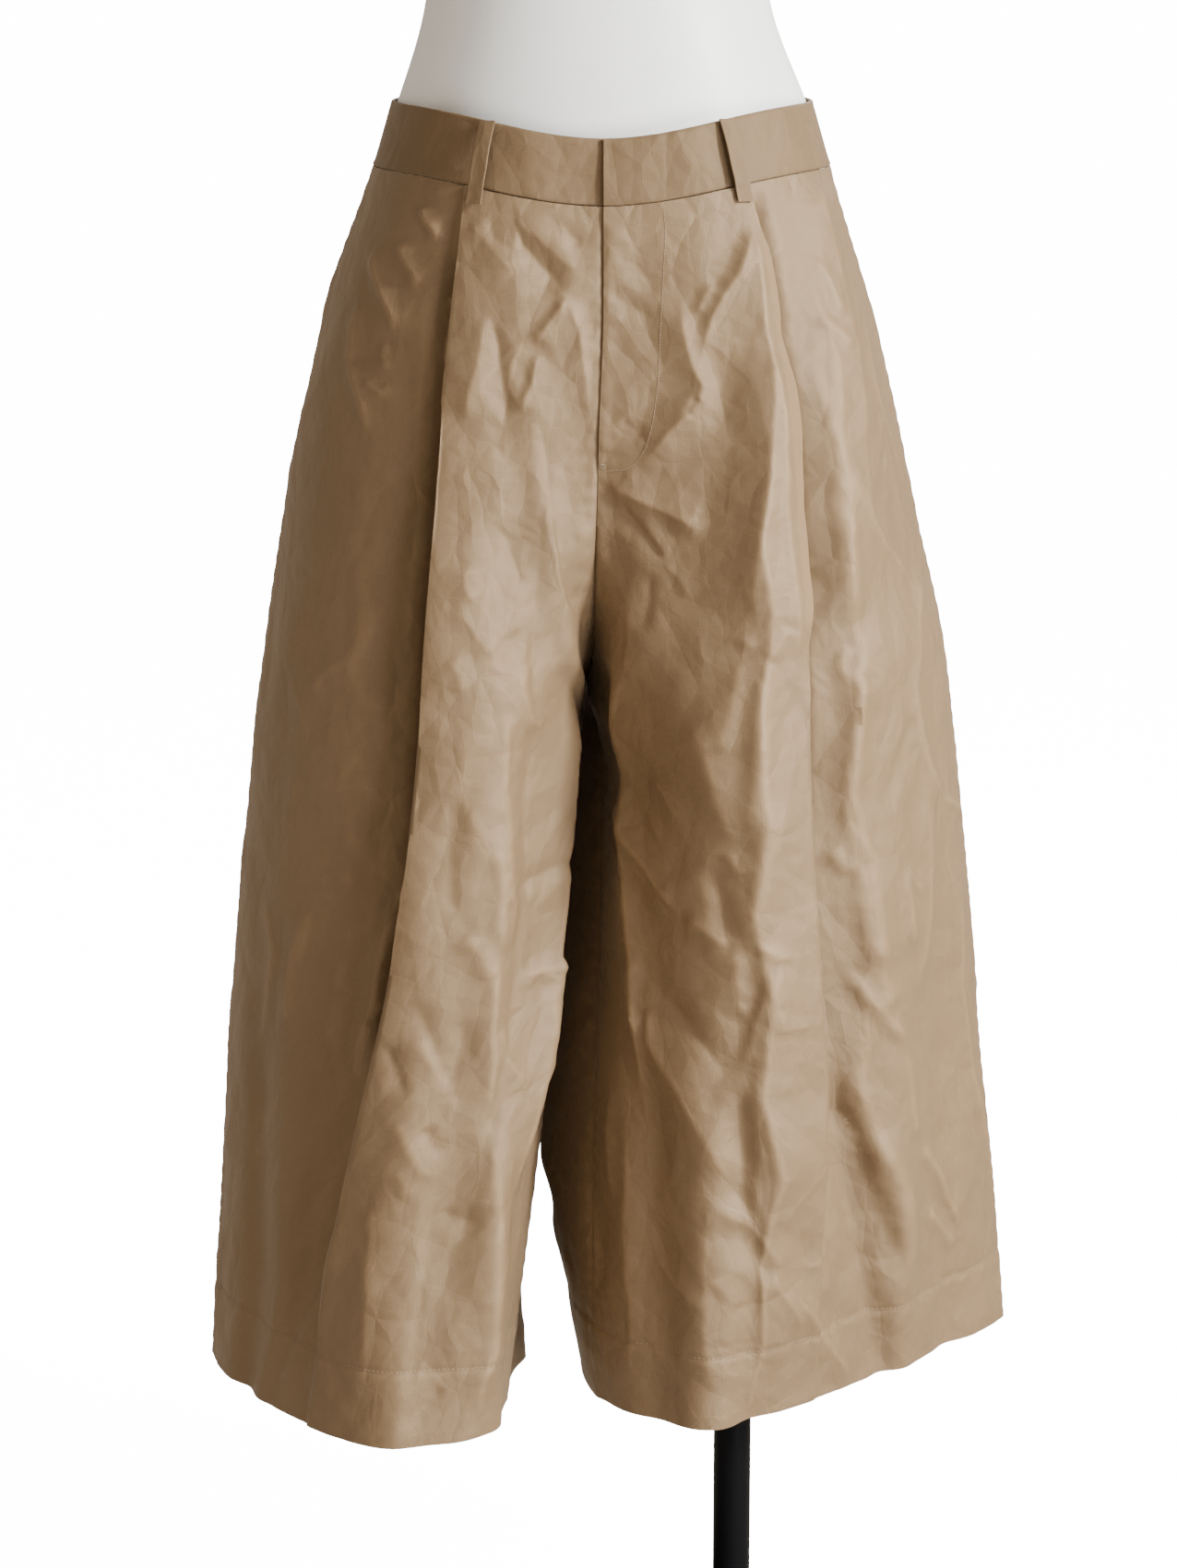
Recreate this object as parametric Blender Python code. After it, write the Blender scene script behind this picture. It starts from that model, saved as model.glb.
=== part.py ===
"""Wide pleated culottes worn by a limbless dress form on a black pole and round base.

Metres, +Z up, the front faces -Y. The origin is on the floor, at the middle of the base plate.
"Right" and "left" are the wearer's: the right leg is on -X and the left leg on +X.

Each leg is a ring of cloth, worked out at any drop below the waist from the tables below. A ring
runs from the centre front seam (or, below the crotch, the inseam) forward to its front point, out
to the side, round to its back point and home again. It is cut at the side seam into a front and a
back panel, and each front panel carries one deep pleat that faces outwards.
"""

import math

import bmesh
import bpy
import numpy as np

# ---- Driving sizes ---------------------------------------------------------------------------

WAIST_Z = 1.08          # the waistband's top edge at the side seams, above the floor
WAIST_DIP = 0.017       # how far the waist dips at the centre front
LENGTH = 0.82           # waist edge to hem
BAND_HEIGHT = 0.040
BAND_WALL = 0.0024      # two layers of cloth and the interlining
CLOTH = 0.0010          # one layer of cloth
SEAM_GAP = 0.0003       # between neighbouring pieces

FLY_END = 0.205         # drop at which the fly closes
FLY_UNDERLAP = 0.010    # how far the right front runs under the left one
FLY_LIFT = 0.0020       # how far the left front stands over the right one
FLY_WIDTH = 0.045       # from the centre seam to the fly's stitched edge
FLY_EASE = 0.03         # over what drop the two fronts come together at its end
SEAM_LEAD = 0.012       # how far the side seam lies before the side point at the waist
POCKET_TOP = 0.048      # drop of the side pocket's mouth
POCKET_END = 0.190
POCKET_GAPE = 0.0016
POCKET_EASE = (0.02, 0.03)  # over what drop the mouth opens and closes

LOOP_WIDTH = 0.0105
LOOP_WALL = 0.0012
LOOP_BELOW_BAND = 0.0095
LOOP_BOW = 0.0026       # how far a loop stands off the band at its middle
LOOP_BOW_END = 0.86     # the share of its length at which it touches the cloth again
LOOP_STEP = 0.006       # how far above the band's lower edge it starts to leave the band

PANEL_ROWS = 28         # strips of faces from waist to hem
FRONT_COLUMNS = (12, 8, 11)  # before the pleat's edge, through its fold, and on to the side
BACK_COLUMNS = 20
SIDE_CROWDING = 1.5     # how much closer the columns get towards the side seam
CROTCH_DROP = 0.375

FORM_BOTTOM_Z = WAIST_Z - 0.250
POLE_X = 0.088          # the pole stands under the form's left hip
POLE_RADIUS = 0.0125
BASE_RADIUS = 0.170
BASE_THICKNESS = 0.010
PLATE_EDGE = 0.002      # the bevel round the base plate
COLLAR_RADIUS = 0.021
COLLAR_HEIGHT = 0.032
COLLAR_FOOT = (0.006, 0.005)    # how far its foot stands out, and how high that is
COLLAR_SLOPE = 0.002
SOCKET_DEPTH = 0.050
SOCKET_FLANGE = (0.018, 0.006)  # how far its flange stands out, and how thick that is

# ---- Section tables, one row for each drop below the waist edge -------------------------------

# x and y of the seam that a panel starts from. Above the crotch it is the centre seam, and
# below the crotch the inseam, where front_y and back_y are one. The turns are the directions
# in which the front and back cloth leave it: 0 runs straight outwards, 90 straight forward
# or back.
SEAM_COLUMNS = ("drop", "x", "front_y", "back_y", "front_turn", "back_turn")
RIGHT_SEAM = (
    (0.000, 0.0000, -0.1045, 0.0985, 0, 0),
    (0.040, 0.0000, -0.1090, 0.1060, 0, 0),
    (0.100, 0.0000, -0.1160, 0.1200, 0, 0),
    (0.180, -0.0025, -0.1210, 0.1300, 4, 4),
    (0.240, -0.0040, -0.1190, 0.1285, 16, 14),
    (0.290, -0.0055, -0.1050, 0.1120, 42, 36),
    (0.335, -0.0065, -0.0710, 0.0760, 72, 66),
    (CROTCH_DROP, -0.0100, 0.0040, 0.0040, 88, 80),
    (0.420, -0.0165, -0.0150, -0.0150, 90, 74),
    (0.520, -0.0268, -0.0420, -0.0420, 88, 70),
    (0.620, -0.0352, -0.0650, -0.0650, 86, 76),
    (0.720, -0.0478, -0.0880, -0.0880, 84, 82),
    (LENGTH, -0.0615, -0.1050, -0.1050, 82, 86),
)
LEFT_SEAM = (
    (0.000, 0.0000, -0.1045, 0.0985, 0, 0),
    (0.040, 0.0000, -0.1090, 0.1060, 0, 0),
    (0.100, 0.0000, -0.1160, 0.1200, 0, 0),
    (0.180, -0.0025, -0.1210, 0.1300, 4, 4),
    (0.240, -0.0040, -0.1190, 0.1285, 16, 14),
    (0.290, -0.0055, -0.1050, 0.1120, 42, 36),
    (0.335, -0.0065, -0.0710, 0.0760, 72, 66),
    (CROTCH_DROP, -0.0085, 0.0040, 0.0040, 88, 98),
    (0.420, 0.0000, -0.0260, -0.0260, 86, 130),
    (0.520, -0.0015, -0.0620, -0.0620, 80, 125),
    (0.620, -0.0055, -0.0850, -0.0850, 74, 124),
    (0.720, -0.0068, -0.0990, -0.0990, 64, 128),
    (0.770, -0.0059, -0.1051, -0.1051, 58, 114),
    (LENGTH, -0.0045, -0.1110, -0.1110, 52, 105),
)

# The ring's front point, side point and back point, and how full its corners are between the
# seam and the front point and between the front and side points (0.55 is an ellipse).
OUTLINE_COLUMNS = (
    "drop", "front_x", "front_y", "side_x", "side_y", "back_x", "back_y", "inner_full", "side_full",
)
RIGHT_OUTLINE = (
    (0.000, -0.030, -0.1045, -0.1315, 0.000, -0.030, 0.0985, 0.55, 0.55),
    (0.040, -0.032, -0.1090, -0.1440, 0.000, -0.034, 0.1060, 0.55, 0.55),
    (0.100, -0.036, -0.1170, -0.1664, 0.002, -0.045, 0.1210, 0.55, 0.55),
    (0.180, -0.050, -0.1270, -0.1879, 0.006, -0.060, 0.1340, 0.55, 0.55),
    (0.260, -0.064, -0.1370, -0.2048, 0.010, -0.074, 0.1430, 0.55, 0.54),
    (0.340, -0.074, -0.1460, -0.2177, 0.014, -0.086, 0.1500, 0.55, 0.53),
    (0.420, -0.080, -0.1530, -0.2280, 0.018, -0.096, 0.1560, 0.56, 0.51),
    (0.520, -0.090, -0.1640, -0.2395, 0.022, -0.110, 0.1640, 0.60, 0.47),
    (0.620, -0.102, -0.1760, -0.2480, 0.016, -0.124, 0.1720, 0.66, 0.41),
    (0.720, -0.115, -0.1880, -0.2540, 0.000, -0.138, 0.1790, 0.72, 0.35),
    (LENGTH, -0.128, -0.2000, -0.2590, -0.025, -0.150, 0.1850, 0.76, 0.30),
)
LEFT_OUTLINE = (
    (0.000, 0.030, -0.1045, 0.1305, 0.000, 0.030, 0.0985, 0.55, 0.55),
    (0.040, 0.032, -0.1090, 0.1425, 0.000, 0.034, 0.1060, 0.55, 0.55),
    (0.100, 0.036, -0.1170, 0.1610, 0.002, 0.045, 0.1210, 0.55, 0.55),
    (0.180, 0.050, -0.1270, 0.1836, 0.006, 0.060, 0.1340, 0.55, 0.55),
    (0.260, 0.062, -0.1350, 0.2010, 0.010, 0.074, 0.1430, 0.55, 0.54),
    (0.340, 0.072, -0.1420, 0.2200, 0.014, 0.088, 0.1500, 0.55, 0.52),
    (0.420, 0.078, -0.1460, 0.2310, 0.018, 0.098, 0.1560, 0.55, 0.49),
    (0.520, 0.080, -0.1500, 0.2425, 0.022, 0.108, 0.1630, 0.55, 0.42),
    (0.620, 0.079, -0.1540, 0.2515, 0.026, 0.116, 0.1690, 0.55, 0.33),
    (0.720, 0.075, -0.1590, 0.2640, 0.034, 0.122, 0.1740, 0.55, 0.23),
    (LENGTH, 0.070, -0.1625, 0.2735, 0.040, 0.126, 0.1780, 0.55, 0.14),
)

# The pleat: where its folded edge lies, how far the cloth runs back under it (less than nothing
# where it has fallen open), how far the edge stands out and how far the cloth beside it sinks in.
PLEAT_COLUMNS = ("drop", "edge_x", "tuck", "lift", "sink")
RIGHT_PLEAT = (
    (0.040, -0.0836, 0.034, 0.0030, 0.0000),
    (0.100, -0.0897, 0.033, 0.0045, 0.0010),
    (0.180, -0.0965, 0.030, 0.0080, 0.0040),
    (0.260, -0.1020, 0.026, 0.0115, 0.0080),
    (0.340, -0.1070, 0.022, 0.0145, 0.0120),
    (0.420, -0.1133, 0.018, 0.0160, 0.0150),
    (0.520, -0.1257, 0.012, 0.0170, 0.0160),
    (0.620, -0.1462, 0.003, 0.0150, 0.0150),
    (0.720, -0.1700, -0.018, 0.0070, 0.0080),
    (LENGTH, -0.1860, -0.040, 0.0015, 0.0010),
)
LEFT_PLEAT = (
    (0.040, 0.0883, 0.034, 0.0030, 0.0000),
    (0.100, 0.0983, 0.033, 0.0045, 0.0010),
    (0.180, 0.1085, 0.030, 0.0075, 0.0035),
    (0.260, 0.1150, 0.026, 0.0105, 0.0065),
    (0.340, 0.1220, 0.022, 0.0130, 0.0090),
    (0.420, 0.1238, 0.019, 0.0145, 0.0110),
    (0.520, 0.1292, 0.014, 0.0150, 0.0120),
    (0.620, 0.1345, 0.006, 0.0140, 0.0110),
    (0.720, 0.1360, -0.012, 0.0070, 0.0060),
    (LENGTH, 0.1360, -0.034, 0.0015, 0.0015),
)

# Soft folds down the cloth: the side of the pleat they are on, x and drop at their two ends,
# how wide they are from crest to flat, and how far they stand out (or in, if negative).
FOLD_COLUMNS = ("panel", "top_x", "bottom_x", "top", "bottom", "width", "height")
FOLDS = (
    ("front_right.centre", -0.048, -0.014, 0.12, 0.40, 0.012, 0.006),
    ("front_right.centre", -0.064, -0.079, 0.40, 1.20, 0.016, 0.006),
    ("front_right.centre", -0.078, -0.110, 0.30, 0.90, 0.018, -0.005),
    ("front_right.side", -0.140, -0.178, 0.44, 0.84, 0.010, 0.006),
    ("front_right.side", -0.196, -0.214, 0.40, 1.00, 0.020, 0.006),
    ("front_right.side", -0.218, -0.238, 0.45, 1.00, 0.014, -0.005),
    ("front_left.centre", 0.022, 0.040, 0.34, 0.95, 0.020, -0.007),
    ("front_left.centre", 0.060, 0.062, 0.42, 1.00, 0.024, 0.007),
    ("front_left.centre", 0.086, 0.098, 0.40, 0.95, 0.016, -0.006),
    ("front_left.side", 0.176, 0.196, 0.28, 0.95, 0.018, 0.007),
    ("front_left.side", 0.140, 0.195, 0.56, 0.88, 0.012, -0.007),
    ("front_left.side", 0.215, 0.240, 0.40, 1.00, 0.014, -0.005),
    ("back_right.whole", -0.060, -0.070, 0.22, 1.00, 0.028, 0.015),
    ("back_right.whole", -0.110, -0.128, 0.26, 1.00, 0.026, -0.015),
    ("back_right.whole", -0.160, -0.190, 0.22, 1.00, 0.026, 0.015),
    ("back_right.whole", -0.205, -0.235, 0.34, 1.00, 0.018, -0.009),
    ("back_right.whole", -0.256, -0.256, 0.74, 0.90, 0.014, 0.0065),
    ("back_left.whole", 0.050, 0.064, 0.24, 1.00, 0.028, 0.014),
    ("back_left.whole", 0.100, 0.118, 0.22, 1.00, 0.026, -0.016),
    ("back_left.whole", 0.150, 0.180, 0.26, 1.00, 0.026, 0.015),
    ("back_left.whole", 0.196, 0.228, 0.34, 1.00, 0.020, -0.009),
    ("back_left.whole", -0.045, -0.045, 0.42, 0.722, 0.036, 0.0085),
)

# The dress form: the height of each section over the waist edge, its half width, how far it
# reaches to the front and back, and how square it is (2 is an ellipse).
FORM_COLUMNS = ("height", "half_width", "front", "back", "squareness")
FORM = (
    (-0.250, 0.1440, 0.0880, 0.0990, 2.3),
    (-0.246, 0.1520, 0.0930, 0.1040, 2.3),
    (-0.225, 0.1570, 0.0970, 0.1080, 2.3),
    (-0.150, 0.1590, 0.1010, 0.1110, 2.2),
    (-0.080, 0.1505, 0.1000, 0.1040, 2.1),
    (-0.040, 0.1408, 0.0960, 0.0970, 2.0),
    (-0.020, 0.1350, 0.0940, 0.0920, 2.0),
    (0.000, 0.1289, 0.0910, 0.0880, 2.0),
    (0.030, 0.1165, 0.0880, 0.0840, 2.1),
    (0.060, 0.1068, 0.0850, 0.0800, 2.1),
    (0.100, 0.1035, 0.0830, 0.0760, 2.1),
    (0.150, 0.1110, 0.0910, 0.0800, 2.2),
    (0.210, 0.1260, 0.1120, 0.0880, 2.3),
    (0.255, 0.1350, 0.1220, 0.0930, 2.3),
    (0.300, 0.1430, 0.1140, 0.0960, 2.4),
    (0.350, 0.1530, 0.0940, 0.0960, 2.5),
    (0.400, 0.1640, 0.0750, 0.0910, 2.5),
    (0.432, 0.1620, 0.0640, 0.0820, 2.4),
    (0.452, 0.1420, 0.0560, 0.0740, 2.3),
    (0.466, 0.1100, 0.0500, 0.0670, 2.2),
    (0.478, 0.0780, 0.0460, 0.0600, 2.1),
    (0.494, 0.0590, 0.0440, 0.0560, 2.0),
    (0.530, 0.0520, 0.0440, 0.0540, 2.0),
    (0.560, 0.0530, 0.0460, 0.0550, 2.0),
    (0.566, 0.0480, 0.0410, 0.0500, 2.0),
)
FORM_LEAN = 0.010       # how far the neck stands behind the waist
FORM_SHIFT = (-0.0005, -0.0030)  # where its hips stand, and how much further its waist stands
FORM_SIDES = 30


# ---- Tables and curves -----------------------------------------------------------------------


def smooth_steps(t):
    """0 before t = 0 and 1 after t = 1, with a soft start and end."""
    t = np.clip(t, 0, 1)
    return t * t * (3 - 2 * t)


def look_up(columns, rows, at):
    """The row of a table at any value of its first column, by a curve that never overshoots."""
    table = np.array(rows, float)
    key, values = table[:, 0], table[:, 1:]
    at = float(np.clip(at, key[0], key[-1]))
    steps = np.diff(values, axis=0) / np.diff(key)[:, None]
    before, after = steps[:-1], steps[1:]
    same_way = before * after > 0
    middle = np.where(same_way, 2 * before * after / np.where(same_way, before + after, 1), 0)
    slopes = np.vstack([steps[:1], middle, steps[-1:]])
    i = int(np.clip(np.searchsorted(key, at) - 1, 0, len(key) - 2))
    span = key[i + 1] - key[i]
    t = (at - key[i]) / span
    found = (
        (1 + 2 * t) * (1 - t) ** 2 * values[i]
        + t * (1 - t) ** 2 * span * slopes[i]
        + t * t * (3 - 2 * t) * values[i + 1]
        + t * t * (t - 1) * span * slopes[i + 1]
    )
    return dict(zip(columns[1:], found))


def bezier(start, start_handle, end_handle, end, count=60):
    t = np.linspace(0, 1, count)[:, None]
    return (
        (1 - t) ** 3 * start
        + 3 * t * (1 - t) ** 2 * start_handle
        + 3 * t * t * (1 - t) * end_handle
        + t**3 * end
    )


ROUND = 0.55  # the handle length that makes a quarter of an ellipse


class Leg:
    """One leg's tables, and the side of the body it is on: -1 is the wearer's right."""

    def __init__(self, name, side, seam, outline, pleat):
        self.name, self.side = name, side
        self.seam, self.outline, self.pleat = seam, outline, pleat

    def points_at(self, drop):
        seam = look_up(SEAM_COLUMNS, self.seam, drop)
        out = look_up(OUTLINE_COLUMNS, self.outline, drop)
        return seam, out

    def arc_from_seam(self, seam_point, turn, ahead, far_point, full):
        """The cloth from a seam to the ring's front (ahead = -1) or back (ahead = 1) point."""
        angle = math.radians(turn)
        leave = np.array([self.side * math.cos(angle), ahead * math.sin(angle)])
        dx, dy = np.abs(far_point - seam_point)
        reach = full * (dy * abs(math.sin(angle)) + 0.6 * dx * abs(math.cos(angle)))
        arrive = np.array([self.side * full * dx, 0])
        return bezier(seam_point, seam_point + reach * leave, far_point - arrive, far_point)

    def arc_to_side(self, point, side_point, full):
        across = np.array([side_point[0] - point[0], 0])
        along = np.array([0, side_point[1] - point[1]])
        return bezier(point, point + full * across, side_point - full * along, side_point)

    def half(self, drop, ahead):
        """The ring from its seam to its side point, over the front (-1) or the back (1)."""
        seam, out = self.points_at(drop)
        word = "front" if ahead < 0 else "back"
        start = np.array([seam["x"] + self.side * SEAM_GAP / 2, seam[word + "_y"]])
        if ahead < 0 and self.side < 0:
            start[0] += FLY_UNDERLAP * (1 - smooth_steps((drop - FLY_END + 1.5 * FLY_EASE) / FLY_EASE))
        if drop > CROTCH_DROP - 1e-6:
            start[1] = seam["front_y"] + ahead * SEAM_GAP / 2
        far = np.array([out[word + "_x"], out[word + "_y"]])
        side_point = np.array([out["side_x"], out["side_y"]])
        inner_full, side_full = (out["inner_full"], out["side_full"]) if ahead < 0 else (ROUND, ROUND)
        first = self.arc_from_seam(start, seam[word + "_turn"], ahead, far, inner_full)
        return np.vstack([first, self.arc_to_side(far, side_point, side_full)[1:]])


RIGHT = Leg("right", -1, RIGHT_SEAM, RIGHT_OUTLINE, RIGHT_PLEAT)
LEFT = Leg("left", 1, LEFT_SEAM, LEFT_OUTLINE, LEFT_PLEAT)


def seam_lead(drop):
    """How far the side seam lies in front of the ring's widest point."""
    return SEAM_LEAD * (1 - smooth_steps((drop - 0.15) / 0.45))


def lengths(line):
    return np.concatenate([[0], np.cumsum(np.linalg.norm(np.diff(line, axis=0), axis=1))])


def read_line(line, along, at):
    return np.stack([np.interp(at, along, line[:, k]) for k in range(line.shape[1])], axis=1)


def trimmed(line, end):
    """A line cut off at a length."""
    along = lengths(line)
    return read_line(line, along, np.linspace(0, end, len(line)))


def base_line(leg, drop, ahead):
    """The panel's plain line at a drop, from its centre seam or inseam to the side seam."""
    front, back = leg.half(drop, -1), leg.half(drop, 1)
    lead = seam_lead(drop)
    if ahead < 0:
        opens, closes = POCKET_EASE
        mouth = smooth_steps((drop - POCKET_TOP) / opens) * smooth_steps((POCKET_END - drop) / closes)
        return trimmed(front, lengths(front)[-1] - lead - SEAM_GAP / 2 - mouth * POCKET_GAPE)
    tail = front[::-1]
    extra = trimmed(tail, lead - SEAM_GAP / 2)[1:]
    whole = np.vstack([back, extra])
    return whole


def lifted(line, side, along, out):
    """Points at a length along the line and a distance outwards from it, both given as arrays."""
    length = lengths(line)
    here = read_line(line, length, along)
    step = 0.003
    ahead = read_line(line, length, np.clip(along + step, 0, length[-1]))
    behind = read_line(line, length, np.clip(along - step, 0, length[-1]))
    way = ahead - behind
    way /= np.linalg.norm(way, axis=1)[:, None]
    normal = np.stack([way[:, 1], -way[:, 0]], axis=1) * side
    return here + normal * out[:, None]


def length_at_x(line, x):
    """How far along a line it crosses x, counted past the line's turn nearest the middle."""
    length = lengths(line)
    outward = np.sign(line[-1, 0] - line[0, 0])
    first = int(np.argmin(line[:, 0] * outward))
    return float(np.interp(x * outward, line[first:, 0] * outward, length[first:]))


def height_over(drop, x, ahead):
    """The height of a point of the cloth. The waist dips at the front, and the hem is level."""
    if ahead > 0:
        return WAIST_Z - drop
    half_width = look_up(OUTLINE_COLUMNS, RIGHT_OUTLINE, drop)["side_x"]
    dip = 1 - smooth_steps(abs(x / half_width) / 0.94)
    return WAIST_Z - drop - WAIST_DIP * dip * (1 - smooth_steps((drop - 0.04) / 0.32))


# ---- The cloth -------------------------------------------------------------------------------


def folds_on(panel, line, drop, along):
    """How far the soft folds of one part of a panel move it out, at each length along the line."""
    out = np.zeros_like(along)
    for row in FOLDS:
        fold = dict(zip(FOLD_COLUMNS, row))
        if fold["panel"] != panel:
            continue
        share = np.clip((drop - fold["top"]) / (fold["bottom"] - fold["top"]), 0, 1)
        x = fold["top_x"] + (fold["bottom_x"] - fold["top_x"]) * share
        strength = smooth_steps(share / 0.45) * smooth_steps((1 - share) / 0.12)
        across = (along - length_at_x(line, x)) / fold["width"]
        out += fold["height"] * strength * np.exp(-across * across)
    return out


def rounded(path, soft, count=400):
    """A path of straight runs with its corners rounded, read at equal steps."""
    along = lengths(path)
    even = read_line(path, along, np.linspace(0, along[-1], count))
    reach = max(1, int(round(3 * soft / (along[-1] / count))))
    weights = np.exp(-0.5 * (np.arange(-reach, reach + 1) * along[-1] / count / soft) ** 2)
    weights /= weights.sum()
    padded = np.vstack([
        2 * even[0] - even[reach:0:-1],
        even,
        2 * even[-1] - even[-2:-reach - 2:-1],
    ])
    return np.stack([np.convolve(padded[:, k], weights, "valid") for k in range(2)], axis=1)


def centre_rise(leg, pleat, drop, edge, along):
    """How far the cloth between the centre seam and the pleat's edge stands out."""
    rise = pleat["lift"] * smooth_steps((along / edge - 0.25) / 0.75)
    if leg.side > 0:
        fly = 1 - smooth_steps((drop - FLY_END + 0.5 * FLY_EASE) / FLY_EASE)
        rise += FLY_LIFT * fly * (1 - smooth_steps(along / FLY_WIDTH))
    return rise


def pleat_path(leg, line, drop):
    """Length along the line and distance out from it, through the pleat's three layers."""
    pleat = look_up(PLEAT_COLUMNS, leg.pleat, drop)
    total = lengths(line)[-1]
    edge = length_at_x(line, pleat["edge_x"])
    hidden = edge - pleat["tuck"]
    lift, sink = pleat["lift"], pleat["sink"]
    name = "front_" + leg.name
    centre = np.linspace(0, edge, 40)
    rise = centre_rise(leg, pleat, drop, edge, centre)
    rise += folds_on(name + ".centre", line, drop, centre)
    rise[-1] = max(rise[-1], lift)
    side = np.linspace(hidden, total, 30)[1:]
    fall = -sink * (1 - smooth_steps((side - hidden) / (0.75 * (total - hidden))))
    fall += folds_on(name + ".side", line, drop, side) * smooth_steps((side - hidden) / 0.03)
    middle = -sink + CLOTH * 0.4 + 0.35 * (rise[-1] + sink - 2.8 * CLOTH)
    turn = np.array([[edge, rise[-1]], [edge, middle], [hidden, middle], [hidden, -sink]])
    return np.stack([centre, rise], 1), turn, np.stack([side, fall], 1)


def front_row(leg, drop, counts):
    """The plan points of a front panel at a drop. Counts are the faces in each part."""
    line = base_line(leg, drop, -1)
    centre, turn, side = pleat_path(leg, line, drop)
    path = np.vstack([centre, turn[1:], side])
    soft = 0.0006 + 0.004 * smooth_steps((drop - 0.30) / 0.45)
    path = rounded(path, soft)
    along = lengths(path)
    marks = [0, *np.cumsum([lengths(centre)[-1], lengths(turn)[-1]])]
    marks = np.array(marks) / (marks[-1] + lengths(np.vstack([turn[-1:], side]))[-1])
    marks = [*marks, 1.0]
    shares = [0.0]
    for i, count in enumerate(counts):
        steps = np.linspace(0, 1, count + 1)[1:]
        if i == len(counts) - 1:
            steps = 1 - (1 - steps) ** SIDE_CROWDING
        shares += list(marks[i] + (marks[i + 1] - marks[i]) * steps)
    read = read_line(path, along, np.array(shares) * along[-1])
    return lifted(line, leg.side, read[:, 0], read[:, 1])


def back_row(leg, drop, count):
    line = base_line(leg, drop, 1)
    along = np.linspace(0, lengths(line)[-1], count + 1)
    out = folds_on("back_" + leg.name + ".whole", line, drop, along)
    return lifted(line, -leg.side, along, out)


def panel_drops(rows):
    """Drops of a panel's rows, with one of them on the crotch and the last on the hem."""
    above = round(rows * 0.48)
    top = np.linspace(BAND_HEIGHT + SEAM_GAP, CROTCH_DROP, above + 1)
    return np.concatenate([top, np.linspace(CROTCH_DROP, LENGTH, rows - above + 1)[1:]])


def outward_normals(grid, flip):
    """The direction out of the cloth at each point of a grid of rows and columns."""
    down, across = np.gradient(grid, axis=0), np.gradient(grid, axis=1)
    out = np.cross(across, down) if flip else np.cross(down, across)
    return out / np.linalg.norm(out, axis=2)[:, :, None]


def share_normals(first, second, rows, column):
    """Gives two panels one direction along their seam, so that their walls run side by side."""
    both = first[rows, column] + second[rows, column]
    both /= np.linalg.norm(both, axis=1)[:, None]
    first[rows, column] = second[rows, column] = both


def cloth_piece(name, grid, out, flip, wall, material):
    """One closed piece of cloth: the grid is its outer side, and the wall is laid inside it."""
    net = bmesh.new()
    outer = [[net.verts.new(point) for point in row] for row in grid]
    inner = [[net.verts.new(point) for point in row] for row in grid - wall * out]

    def face(a, b, c, d):
        net.faces.new((d, c, b, a) if flip else (a, b, c, d))

    last_row, last_column = len(outer) - 1, len(outer[0]) - 1
    for i in range(last_row):
        for j in range(last_column):
            face(outer[i][j], outer[i + 1][j], outer[i + 1][j + 1], outer[i][j + 1])
            face(inner[i][j], inner[i][j + 1], inner[i + 1][j + 1], inner[i + 1][j])
        face(inner[i][0], inner[i + 1][0], outer[i + 1][0], outer[i][0])
        face(outer[i][-1], outer[i + 1][-1], inner[i + 1][-1], inner[i][-1])
    for j in range(last_column):
        face(outer[0][j], outer[0][j + 1], inner[0][j + 1], inner[0][j])
        face(inner[-1][j], inner[-1][j + 1], outer[-1][j + 1], outer[-1][j])
    mesh = bpy.data.meshes.new(name)
    net.to_mesh(mesh)
    net.free()
    return add_object(name, mesh, material)


def panel_grid(leg, ahead):
    rows = []
    for drop in panel_drops(PANEL_ROWS):
        plan = front_row(leg, drop, FRONT_COLUMNS) if ahead < 0 else back_row(leg, drop, BACK_COLUMNS)
        rows.append([(x, y, height_over(drop, x, ahead)) for x, y in plan])
    return np.array(rows)


def make_leg(leg, material):
    front, back = panel_grid(leg, -1), panel_grid(leg, 1)
    front_flip, back_flip = leg.side < 0, leg.side > 0
    front_out = outward_normals(front, front_flip)
    back_out = outward_normals(back, back_flip)
    every_row = np.arange(len(front))
    below_crotch = every_row[panel_drops(PANEL_ROWS) > CROTCH_DROP - 1e-6]
    share_normals(front_out, back_out, below_crotch, 0)
    share_normals(front_out, back_out, every_row, -1)
    cloth_piece("front_" + leg.name, front, front_out, front_flip, CLOTH, material)
    cloth_piece("back_" + leg.name, back, back_out, back_flip, CLOTH, material)


# ---- The waistband and its loops -------------------------------------------------------------


def waist_line(drop):
    """The waist all round: centre front, right side, centre back, left side, centre front."""
    right_front, right_back = RIGHT_BARE.half(drop, -1), RIGHT_BARE.half(drop, 1)
    left_front, left_back = LEFT.half(drop, -1), LEFT.half(drop, 1)
    return np.vstack([right_front, right_back[::-1][1:], left_back[1:], left_front[::-1][1:]])


class BareLeg(Leg):
    """The right leg without the fly's underlap."""

    def half(self, drop, ahead):
        line = super().half(drop, ahead)
        if ahead < 0:
            line = line[line[:, 0] <= 0]
            line = np.vstack([[0, line[0, 1]], line])
        return line


RIGHT_BARE = BareLeg("right", -1, RIGHT_SEAM, RIGHT_OUTLINE, RIGHT_PLEAT)

BAND_PROUD = 0.0008     # how far the band stands over the panels
BAND_UNDERLAP = 0.030   # its under end, behind the over end at the centre front
BAND_DIP = 0.0010       # how far the under end goes in, and the over end stands out
BAND_LIFT = 0.0020
BAND_EASE = 0.05        # over what length
BAND_COLUMNS = 52


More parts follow.
